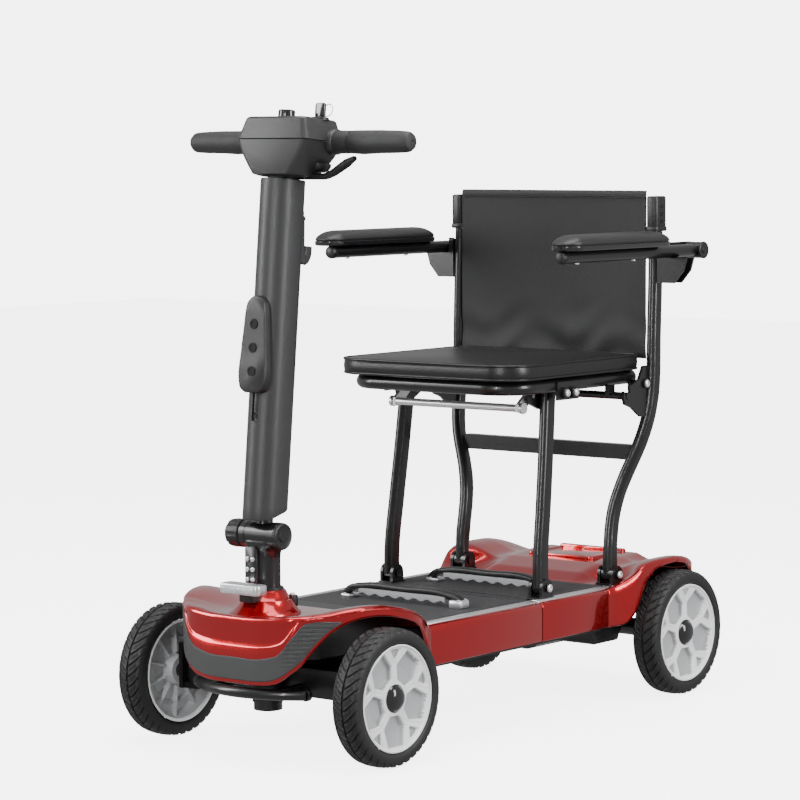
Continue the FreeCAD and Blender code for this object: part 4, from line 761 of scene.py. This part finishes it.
def column_part():
    zs = np.r_[25, 25.6, 27, 40, 90, 130, 160, 164.6, 165.4, 170, 200, 240, 280, 320, 338, 342.6, 343.4, 360,
        420, 470]
    zs = np.r_[zs, 514.4, 515.6, 516]
    angles = np.radians(np.r_[-90, -84, -79, -78, -72, -66, -58, -50, -40, -30, -20, -10, 0, 12, 24, 36, 48,
        58, 68, 78,
        84, 90, 96, 102, 112, 122, 132, 144, 156, 168, 180, 190, 200, 210, 220, 224, 226, 238,
        246, 252, 258, 259, 264])
    rows = []
    for z in zs:
        pull = {25: 1.2, 25.6: 0.4, 515.6: 0.4, 516: 1.2}.get(float(z), 0)
        ring = []
        for a in angles:
            x = (28 - pull) * math.cos(a)
            y = (28 - pull) * math.sin(a)
            y += (7 if math.sin(a) > 0 else -7) * min(1, abs(math.sin(a)) * 5)
            if abs(x) < 5.6 and y < 0 and 165 < z < 343:
                y += 3.2
            foot = z
            if z < 30:
                foot = z + 17 * ease(-35, 35, y) - 4
            ring.append((x, y, foot))
        rows.append(ring)
    return tube(rows)


def build_column():
    make("column_sleeve", [leaning(column_part())], TILLER, "tiller", ["column_cover"],
        sharp=32)
    inserts = [slab((-5, -32.6, 168), (5, -31.4, 340), 4, 0.5, axis=1)]
    make("column_slot_insert", lean_all(inserts), BLACK_PLASTIC, "tiller")
    # the vent slots are near-black slabs: painted shade in the openings
    vents = [slab((-20, -31.5, z - 2), (-3, -27, z + 2), 1.6, 0.3, axis=1) for z in (480, 493, 506)]
    turn = math.radians(-24)
    for points, faces in vents:
        x, y = points[:, 0].copy(), points[:, 1].copy()
        points[:, 0] = x * math.cos(turn) - (y + 28) * math.sin(turn) - 2
        points[:, 1] = x * math.sin(turn) + (y + 28) * math.cos(turn) - 28 + 0.6
    make("column_vents", lean_all(vents), GAP_SHADE, "tiller")
    screws = [bolt((0, -31.6, z), "Y", -1, 3.4, 2) for z in (176, 332)]
    make("column_slot_screws", lean_all(screws), BLACK_METAL, "tiller")
    low, high = 205.0, 345.5
    front, back = -47.0, -34.6
    outline = spline([(-13, low), (-22, low + 6), (-25, low + 16), (-23.5, low + 60), (-20, high - 40),
        (-19, high - 26), (-13, high - 6), (-4, high - 0.5), (4, high - 0.5), (13, high - 6),
        (19, high - 26), (20, high - 40), (23.5, low + 60), (25, low + 16), (22, low + 6), (13, low)], 72)
    middle = np.array([0, (low + high) / 2])
    rows = []
    for y, inset in ((back, 0), (front + 3, 0), (front + 1, 0.8), (front, 3)):
        ring = middle + (outline - middle) * (1 - inset / 40)
        rows.append(np.stack([ring[:, 0], np.full(len(ring), y), ring[:, 1]], 1))
    make("accessory_plate", [leaning(tube(rows))], BLACK_PLASTIC, "tiller",
        ["accessory_bracket"])
    # the eyes are near-black dimples: painted shade in the holes
    eyes = [lathe([(front - 0.6, 7.5), (front - 1.2, 7), (front - 1.2, 4.6), (front + 3, 4.2),
        (front + 3, 0)],
        "Y", (0, 0, z), 32) for z in (236, 270, 304)]
    make("accessory_plate_eyes", lean_all(eyes), GAP_SHADE, "tiller", sharp=30)
    hook = spline([(0, 40, 470), (0, 43, 460), (0, 45, 440), (0, 47, 418), (0, 50, 406), (0, 57, 403),
        (0, 62, 410),
        (0, 63, 423)], 40)
    parts = [sweep(hook, plate(8, 3, 2.4, 4), (1, 0, 0.0001)),
        lathe([(-11, 3.5), (11, 3.5)], "X", (0, 39, 462), 20)]
    make("bag_hook_arm", lean_all(parts), TILLER, "bag_hook", ["bag_hook"])
    make("bag_hook_seat", [leaning(slab((-12, 33.5, 452), (12, 38, 474), 4, 1.4, axis=1))], BLACK_PLASTIC,
        "tiller")


def rounded_loop(half_x, front, rear, corner, z, tilt=0.0):
    ring = plate(half_x, (rear - front) / 2, corner, 4)
    y = ring[:, 1] + (front + rear) / 2
    return np.stack([ring[:, 0], y, z + tilt * (y - front)], 1)


def build_console():
    lower = [rounded_loop(30, -26, 30, 14, 519), rounded_loop(40, -30, 36, 12, 522),
        rounded_loop(47, -32, 44, 10, 534),
        rounded_loop(58, -33, 50, 9, 552), rounded_loop(64.5, -33.5, 54, 8, 569),
        rounded_loop(65.5, -33.5, 54.5, 8, 571.2),
        rounded_loop(64.5, -32.5, 53.5, 8, 572)]
    upper = [rounded_loop(64.5, -32.5, 53.5, 8, 572.4), rounded_loop(65.5, -33.5, 54.5, 8, 573.2),
        rounded_loop(65, -33.2, 54.3, 8, 575), rounded_loop(57, -28, 50.5, 8, 602),
        rounded_loop(55, -26, 49, 8, 604.6),
        rounded_loop(51, -22, 45, 7, 605.6)]
    make("console_base", [leaning(tube(lower))], CONSOLE, "tiller",
        ["console_lower"], sharp=24)
    make("console_top", [leaning(tube(upper))], CONSOLE, "tiller",
        ["console_upper"], sharp=24)
    collars = both(lathe([(60, 19), (70, 18.6), (72, 17.4), (72.6, 15)], "X", (0, 34, 573), 40))
    make("bar_sockets", lean_all(collars), CONSOLE, "tiller")
    dome = lathe([(541, 17), (536, 16.4), (531, 13), (528.5, 7), (528, 0)], "Z", (44, 28, 0), 36)
    make("console_sounder", [leaning(dome)], BLACK_PLASTIC, "tiller")
    knob = [(605, 12.4), (606.5, 12.5), (615, 12.3), (616.5, 11.4), (617, 9.5), (617, 0)]
    points, faces = lathe(knob, "Z", (0, 0, 0), 72)
    a = np.arctan2(points[:, 1], points[:, 0])
    flute = 1 - 0.09 * (np.cos(a * 9) > 0.1)
    points = points * np.stack([flute, flute, np.ones_like(flute)], 1)
    make("speed_knob_cap", [leaning((points, faces))], GLOSS, "speed_knob", ["speed_knob"])
    skirt = lathe([(603.5, 16), (605.2, 15.4), (605.4, 13.4), (605, 0)], "Z", (0, 0, 0), 40)
    barrel = lathe([(603.5, 13.5), (607.5, 12.8), (608.4, 8.5), (606.5, 0)], "Z", (45, 22, 0), 36)
    make("console_seats", [leaning(skirt), leaning(barrel)], BLACK_PLASTIC, "tiller")
    head = [slab((36, 19.5, 607), (54, 24.5, 629), 4, 1.2, axis=1),
        lathe([(603, 3), (609, 3)], "Z", (45, 22, 0), 16)]
    make("key_head", lean_all(head), GLOSS, "ignition_key", ["ignition_key"])
    ring_path = [(57 + 9 * math.cos(t), 24 + 2 * math.sin(t), 621 + 9 * math.sin(t) - 3)
        for t in np.linspace(0, 2 * math.pi, 36, endpoint=False)]
    ring = sweep(ring_path, circle(0.9, 8), (0.02, 1, 0), closed=True)
    make("key_ring", [leaning(ring)], STEEL, "ignition_key")


def grip_part():
    profile = [(68.2, 9.2), (68.4, 15.5), (70, 16.6), (74, 16.9), (96, 16.6), (97.2, 16.3), (97.8, 15.2),
        (99, 15.2),
        (99.6, 16.3), (101, 16.8), (120, 17.0), (150, 17.0), (180, 16.2), (196, 15.4), (202, 14.6), (206, 12),
        (207.6, 8), (208, 3), (206.8, 2), (206.5, 0)]
    points, faces = lathe(profile, "X", (0, 0, 0), 56)
    points = points.copy()
    x = points[:, 0]
    under = np.clip(-points[:, 2] / 17, 0, 1)
    fingers = 0.9 * np.cos((x - 120) * 2 * math.pi / 22) * ease(104, 112, x) * (1 - ease(186, 196, x))
    points[:, 2] -= fingers * under
    rear = np.clip(points[:, 1] / 17, 0, 1)
    points[:, 1] += 1.0 * rear * ease(104, 120, x) * (1 - ease(180, 200, x))
    return points + (0, 34, 573), faces


def build_bar():
    make("rubber_grips", [leaning(p) for p in both(grip_part())], RUBBER, "tiller",
        ["hand_grips"])
    path = spline([(-12, 20, 522), (24, 20, 522), (48, 20, 522), (64, 20, 522.6), (74, 20, 526),
        (94, 20, 537),
        (110, 20, 546), (116, 20, 549)], 44)
    grow = np.interp(np.arange(44), [0, 24, 38, 43], [1.0, 1.0, 1.2, 0.7])
    wing = sweep(path, plate(6, 4.5, 3.4, 4), (0, 0, 1), scale=grow)
    ring = lathe([(517.6, 22), (518.2, 22.5), (526, 22.5), (526.4, 22)], "Z", (0, 0, 0), 48)
    make("throttle_lever", [leaning(p) for p in (wing, ring)], BLACK_PLASTIC, "throttle",
        ["throttle_paddle"])


build_stem()
build_column()
build_console()
build_bar()


# ---------------------------------------------------------------- seat
CUSHION = {"half": 178.0, "front": -30.0, "rear": 311.0, "foot": 523.3, "top": 553.3}


def cushion_loop(inset, corner=50.0, steps=14):
    """Plan outline of the cushion: full round front corners, small rear ones, a slightly bowed front."""
    half = CUSHION["half"] - inset
    front, rear = CUSHION["front"] + inset, CUSHION["rear"] - inset
    big, small = max(corner - inset, 4), max(16 - inset, 3)
    points = []
    for x, y, r, start in ((half - big, front + big, big, -90), (half - small, rear - small, small, 0),
            (small - half, rear - small, small, 90), (big - half, front + big, big, 180)):
        for k in range(steps + 1):
            a = math.radians(start + 90 * k / steps)
            points.append((x + r * math.cos(a), y + r * math.sin(a)))
        ends = {-90: (half, rear - small), 0: (small - half, rear), 90: (-half, front + big),
            180: (half - big, front)}
        last, end, run = points[-1], ends[start], 14
        points += [(last[0] + (end[0] - last[0]) * k / run, last[1] + (end[1] - last[1]) * k / run)
            for k in range(1, run)]
    ring = np.array(points)
    ring[:, 1] -= 3.5 * (1 - (ring[:, 0] / 178) ** 2) * (1 - ease(front, front + 60,
        ring[:, 1])) * (inset > 2)
    return ring


def dimples(x, y):
    """Slow waves and small creases of a stuffed cover."""
    return (0.9 * np.sin(x / 37 + 1.3) * np.sin(y / 43 + 0.4) + 0.5 * np.sin((x + y) / 19)
        * np.exp(-((np.abs(x) - 150) / 30) ** 2))


def build_cushion():
    foot, top = CUSHION["foot"], CUSHION["top"]
    rows = []
    for inset, z in ((12, foot + 0.4), (5, foot + 0.6), (2, foot + 2.5), (0.6, foot + 7), (0, foot + 13),
            (0.5, foot + 19), (1.2, foot + 22.5), (2.4, foot + 24.5)):
        ring = cushion_loop(inset)
        wave = 0.5 * np.sin(np.arange(len(ring)) * 0.55) * ease(foot + 3, foot + 12, z)
        rows.append(np.c_[ring * (1 - 0.0012 * wave[:, None]), np.full(len(ring), z)])
    last = cushion_loop(2.4)
    middle = np.array([0, 150.0])
    for s in np.r_[0.985, 0.965, 0.93, np.linspace(0.88, 0.06, 20)]:
        ring = middle + (last - middle) * s
        crown = 2.0 + 5.6 * (1 - s**5)
        z = foot + 22.6 + crown + dimples(ring[:, 0], ring[:, 1]) * (1 - s**6)
        rows.append(np.c_[ring, np.minimum(z, top + 1.2)])
    seat = make("seat_cushion_cover", [tube(rows)], LEATHER, "seat",
        ["seat_cushion"], sharp=70)
    for name, inset, z in (("cushion_piping_top", 0.9, foot + 24.4),
            ("cushion_piping_foot", 1.4, foot + 3.2)):
        ring = cushion_loop(inset)
        welt = sweep(np.c_[ring, np.full(len(ring), z)], circle(1.9, 10), (0, 0, 1), closed=True)
        make(name, [welt], LEATHER, "seat", sharp=70)


SLING = {"foot": 541.0, "split": 592.0, "top": 803.0}


def sling_point(u, v):
    """The back cloth's front face: u across -1..1, v from foot 0 to top 1."""
    x = 182.0 * u
    z = SLING["foot"] + (SLING["top"] - SLING["foot"]) * v
    belly = 5.0 * (1 - u * u) * math.sin(math.pi * min(max(v, 0), 1)) ** 0.8
    low = (1 - ease(0.0, 0.42, v))
    fold = 2.6 * math.sin(17 * v + 2.6 * u + 1.4 * math.sin(5 * u)) * low * (0.5 + 0.5 * math.cos(2.2 * u))
    fold += 1.5 * math.sin(27 * v - 5 * u + 2 * math.sin(7 * u)) * low
    fold += 1.1 * math.exp(-((u + 0.08 + 0.35 * v) / 0.05) ** 2) * low
    fold += 0.8 * math.sin(23 * u) * math.exp(-(v / 0.16) ** 2)
    fold += 1.0 * math.sin(9 * u + 5 * v) * (1 - low) * 0.5
    return x, 316.0 + belly + float(fold), z


def build_back():
    """A cloth sling round the posts' inner sides, with its slack foot as an object of its own."""
    count_u, count_v = 72, 84
    front = np.array([[sling_point(u, v) for u in np.linspace(-1, 1, count_u)] for v in np.linspace(0, 1,
        count_v)])
    back = front.copy()
    thick = 13.0 * np.sqrt(np.clip(1 - np.linspace(-1, 1, count_u) ** 8, 0, 1)) + 3
    back[..., 1] += thick[None, :]
    rows = []
    for f, b in zip(front, back):
        rows.append(np.concatenate([f, b[::-1]]))
    crown = rows[-1].copy()
    lid = crown.copy()
    lid[:, 2] += 3.5
    lid[:, 1] = lid[:, 1] * 0.6 + lid[:, 1].mean() * 0.4
    rows.append(lid)
    split = round((count_v - 1) * (SLING["split"] - SLING["foot"]) / (SLING["top"] - SLING["foot"]))
    upper = make("back_sling_upper", [skin(rows[split:], wrap=True, caps=True)], FABRIC, "seat_back",
        ["backrest_upper"], sharp=80)
    lower = make("back_sling_foot", [skin(rows[:split + 1], wrap=True, caps=True)], FABRIC, "seat_back",
        ["backrest_lower"], sharp=80)
    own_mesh(lower)
    hem = []
    for z in (795.0, 797.5):
        line = [(x, 313.6 + 4.6 * (1 - (x / 182) ** 2) * 0.35, z) for x in np.linspace(-180, 180, 60)]
        hem.append(sweep(line, circle(0.55, 6), (0, 0, 1)))
    make("back_sling_stitches", hem, FABRIC, "seat_back")


def pad_ring(inset, z, taper=0.10):
    ring = plate(30 - inset, 135.5 - inset * 1.15, max(26 - inset, 2), 10)
    narrow = 1 - taper * ease(20, 135, -ring[:, 1])
    return np.c_[ring[:, 0] * narrow + 232, ring[:, 1] + 149.5, np.full(len(ring), z)]


def pad_part():
    """The cushioned top of an arm pad: a long dome that falls away to both ends."""
    rows = [pad_ring(2.4, 729.2)]
    for inset, rise in ((0.9, 0.10), (0.9, 0.22), (1.8, 0.38), (4.0, 0.58), (8.0, 0.78), (13.0, 0.92),
            (20.0, 1.0),
            (26.0, 1.03)):
        ring = pad_ring(inset, 0)
        end = 1 - 0.62 * np.abs((ring[:, 1] - 149.5) / 135.5) ** 2.6
        ring[:, 2] = 730 + 22.0 * rise * end
        rows.append(ring)
    return tube(rows)


def pad_tray():
    """The hard base under the cushioned top."""
    rows = [pad_ring(inset, z) for inset, z in ((5, 721.4), (1.6, 721.8), (0.5, 723), (0, 725), (0, 728.4),
        (1.2, 729.4),
        (3, 729.6))]
    return tube(rows)


def build_arms():
    for side, turn_over in (("left", lambda p: p), ("right", flipped)):
        body = f"armrest_{side}"
        pad = make(f"arm_pad_{side}", [turn_over(pad_part())], FOAM, body,
            [f"armrest_pad_{side}"], sharp=45)
        make(f"arm_pad_tray_{side}", [turn_over(pad_tray())], GLOSS, body)
        screws = [turn_over(bolt((225, y, 701.8), "Z", -1, 3.4, 2.2)) for y in (70, 220)]
        make(f"arm_pad_screws_{side}", screws, STEEL, body)
        cap = lathe([(24.5, 0), (24.6, 6), (26, 9), (28.5, 10.2), (36, 10.4), (37, 9.9)], "Y",
            (225, 0, 711.5), 32)
        make(f"arm_tube_plug_{side}", [turn_over(cap)], BLACK_PLASTIC, body)
        disc = lathe([(12.8, 13.2), (14, 13.6), (16, 13.4), (16.8, 12), (16.2, 9), (16.2, 5), (17.4, 4.6),
            (17.4, 0)],
            "X", (225, 395, 711.5), 40)
        make(f"arm_hub_cap_{side}", [turn_over(disc)], BLACK_PLASTIC, body)


def build_legs():
    """Broad flat-oval front links, each standing in a forged sleeve on its lower pivot."""
    path = spline([(147, 81, 200), (146.6, 81.4, 236), (144.4, 92, 322), (142, 101, 390), (138, 114, 503)],
        60)
    legs = []
    for side in (1, -1):
        tube = sweep(path, plate(8.4, 14.5, 8.2, 6), (0, -1, 0.3))
        eyes = [lathe([(147 - 7, 12.3), (147 + 7, 12.3)], "X", (0, 81, 200), 40),
            lathe([(138 - 7, 12.3), (138 + 7, 12.3)], "X", (0, 114, 503), 40)]
        legs += [part if side > 0 else flipped(part) for part in (tube, *eyes)]
    make("front_seat_links", legs, BLACK_METAL, "front_legs", ["front_legs"], sharp=50)


def build_seat_details():
    caps, holes = [], []
    for sign in (1, -1):
        x = sign * 193.6
        low, high = (x - 10.4, x + 10.4)
        caps.append(slab((low, 314, 742.4), (high, 346, 798), 7, 2.6))
        caps.append(slab((low - 0.9, 312.6, 742.6), (high + 0.9, 347.4, 750), 7, 1.2))
        for z in (758.0, 770.0, 782.0):
            # each hole is a shallow near-black dimple: painted shade in the hole
            dimple = [(0, 3.6), (0.5, 3.4), (0.5, 2.4), (-0.5, 2.2), (-0.5, 0)]
            hole = lathe(dimple, "X", (sign * x + 10.6, 330, z), 24)
            holes.append(hole if sign > 0 else flipped(hole))
    make("post_top_caps", caps, BLACK_PLASTIC, "seat_back", ["post_caps"])
    make("post_cap_holes", holes, GAP_SHADE, "seat_back", sharp=25)
    build_legs()
    nuts = []
    for y in (81.0, 268.0):
        nuts += both(bolt((164.0 if y < 100 else 166.0, y, 200), "X", 1, 6.2, 3.4))
    make("seat_leg_bolt_heads", nuts, STEEL, "chassis")
    pins, barrels = [], []
    for y in (110.0, 133.0):
        barrels += both(lathe([(171, 8), (172, 8.4), (176.5, 8.4), (177.5, 7.6)], "X", (0, y, 500), 32))
        pins += both(bolt((177.4, y, 500), "X", 1, 5.6, 4))
    pins += both(bolt((195.6, 301, 503), "X", 1, 6, 3.4))
    make("seat_plate_barrels", barrels, BLACK_METAL, "seat")
    make("seat_plate_screws", pins, STEEL, "seat")


build_cushion()
build_back()
build_arms()
build_seat_details()

PAINT = {"black_metal": BLACK_METAL, "red_shell": RED, "black_plastic": BLACK_PLASTIC, "silver_trim": TRIM,
    "bright_steel": STEEL, "wheel_silver": RIM, "tyre": TYRE, "tiller_grey": TILLER}
for sub in frame["record"]["subparts"]:
    node = frame["nodes"][sub["node"]]
    if node.hide_render or sub["material_slot"] not in PAINT:
        continue
    node.data.materials.clear()
    node.data.materials.append(PAINT[sub["material_slot"]])


# ---------------------------------------------------------------- camera, floor and light
CAMERA_PLACE = (2.9964, -3.8356, 0.8984)
CAMERA_LENS = 142.4


def build_camera():
    turn, rise, roll = math.radians(38.58), math.radians(4.81), math.radians(-0.35)
    back = Vector((math.sin(turn) * math.cos(rise), -math.cos(turn) * math.cos(rise), math.sin(rise)))
    right = (-back).cross(Vector((0, 0, 1))).normalized()
    up = right.cross(-back)
    side = right * math.cos(roll) + up * math.sin(roll)
    top = up * math.cos(roll) - right * math.sin(roll)
    lens = bpy.data.cameras.new("photo_camera")
    lens.lens = CAMERA_LENS
    lens.sensor_width = 36
    camera = bpy.data.objects.new("photo_camera", lens)
    bpy.context.scene.collection.objects.link(camera)
    turned = Matrix((side, top, back)).transposed().to_4x4()
    camera.matrix_world = Matrix.Translation(CAMERA_PLACE) @ turned
    bpy.context.scene.camera = camera


def area_light(name, place, aim, size, power, colour=(1, 1, 1)):
    data = bpy.data.lights.new(name, "AREA")
    data.shape = "RECTANGLE"
    data.size, data.size_y = size
    data.energy = power
    data.color = colour
    lamp = bpy.data.objects.new(name, data)
    bpy.context.scene.collection.objects.link(lamp)
    lamp.location = place
    lamp.rotation_euler = (Vector(place) - Vector(aim)).to_track_quat("Z", "Y").to_euler()


def glowing(name, strength):
    mat = material(name, (0.9, 0.9, 0.9), 0.5)
    shader = mat.node_tree.nodes["Principled BSDF"]
    shader.inputs["Emission Color"].default_value = (1, 1, 1, 1)
    shader.inputs["Emission Strength"].default_value = strength
    return mat


def stage_sheet(name, corners, mat):
    """A stage surface that the camera sees and that sends no light of its own onto the model."""
    mesh = bpy.data.meshes.new(name)
    mesh.from_pydata(corners, [], [(0, 1, 2, 3)])
    mesh.materials.append(mat)
    sheet = bpy.data.objects.new(name, mesh)
    bpy.context.scene.collection.objects.link(sheet)
    sheet.visible_diffuse = False
    sheet.visible_glossy = False
    sheet.visible_transmission = False
    return sheet


def build_studio():
    reach = 9.0
    stage_sheet("floor", [(-reach, -reach, 0), (reach, -reach, 0), (reach, reach, 0), (-reach, reach, 0)],
        glowing("floor_white", 4.6))
    glow = glowing("backdrop_white", 5.2)
    corners = [(-reach, -reach), (reach, -reach), (reach, reach), (-reach, reach)]
    for n, (here, there) in enumerate(zip(corners, corners[1:] + corners[:1])):
        wall = stage_sheet(f"backdrop_{n}", [(*here, 0), (*there, 0), (*there, reach), (*here, reach)], glow)
        wall.visible_shadow = False
    world = bpy.data.worlds.new("studio")
    bpy.context.scene.world = world
    world.use_nodes = True
    world.node_tree.nodes["Background"].inputs["Color"].default_value = (1, 1, 1, 1)
    world.node_tree.nodes["Background"].inputs["Strength"].default_value = 0.5
    area_light("top_soft", (0.2, -0.2, 3.0), (0, 0, 0.4), (2.4, 2.4), 90)
    area_light("left_soft", (-2.4, -2.2, 1.6), (0, 0, 0.4), (0.8, 2.2), 75)
    area_light("front_strip", (0.9, -3.2, 1.3), (0, 0, 0.25), (0.22, 1.8), 45)
    area_light("right_soft", (2.8, 0.4, 1.5), (0, 0, 0.4), (0.8, 2.2), 75)


build_camera()
build_studio()
bpy.context.view_layer.update()
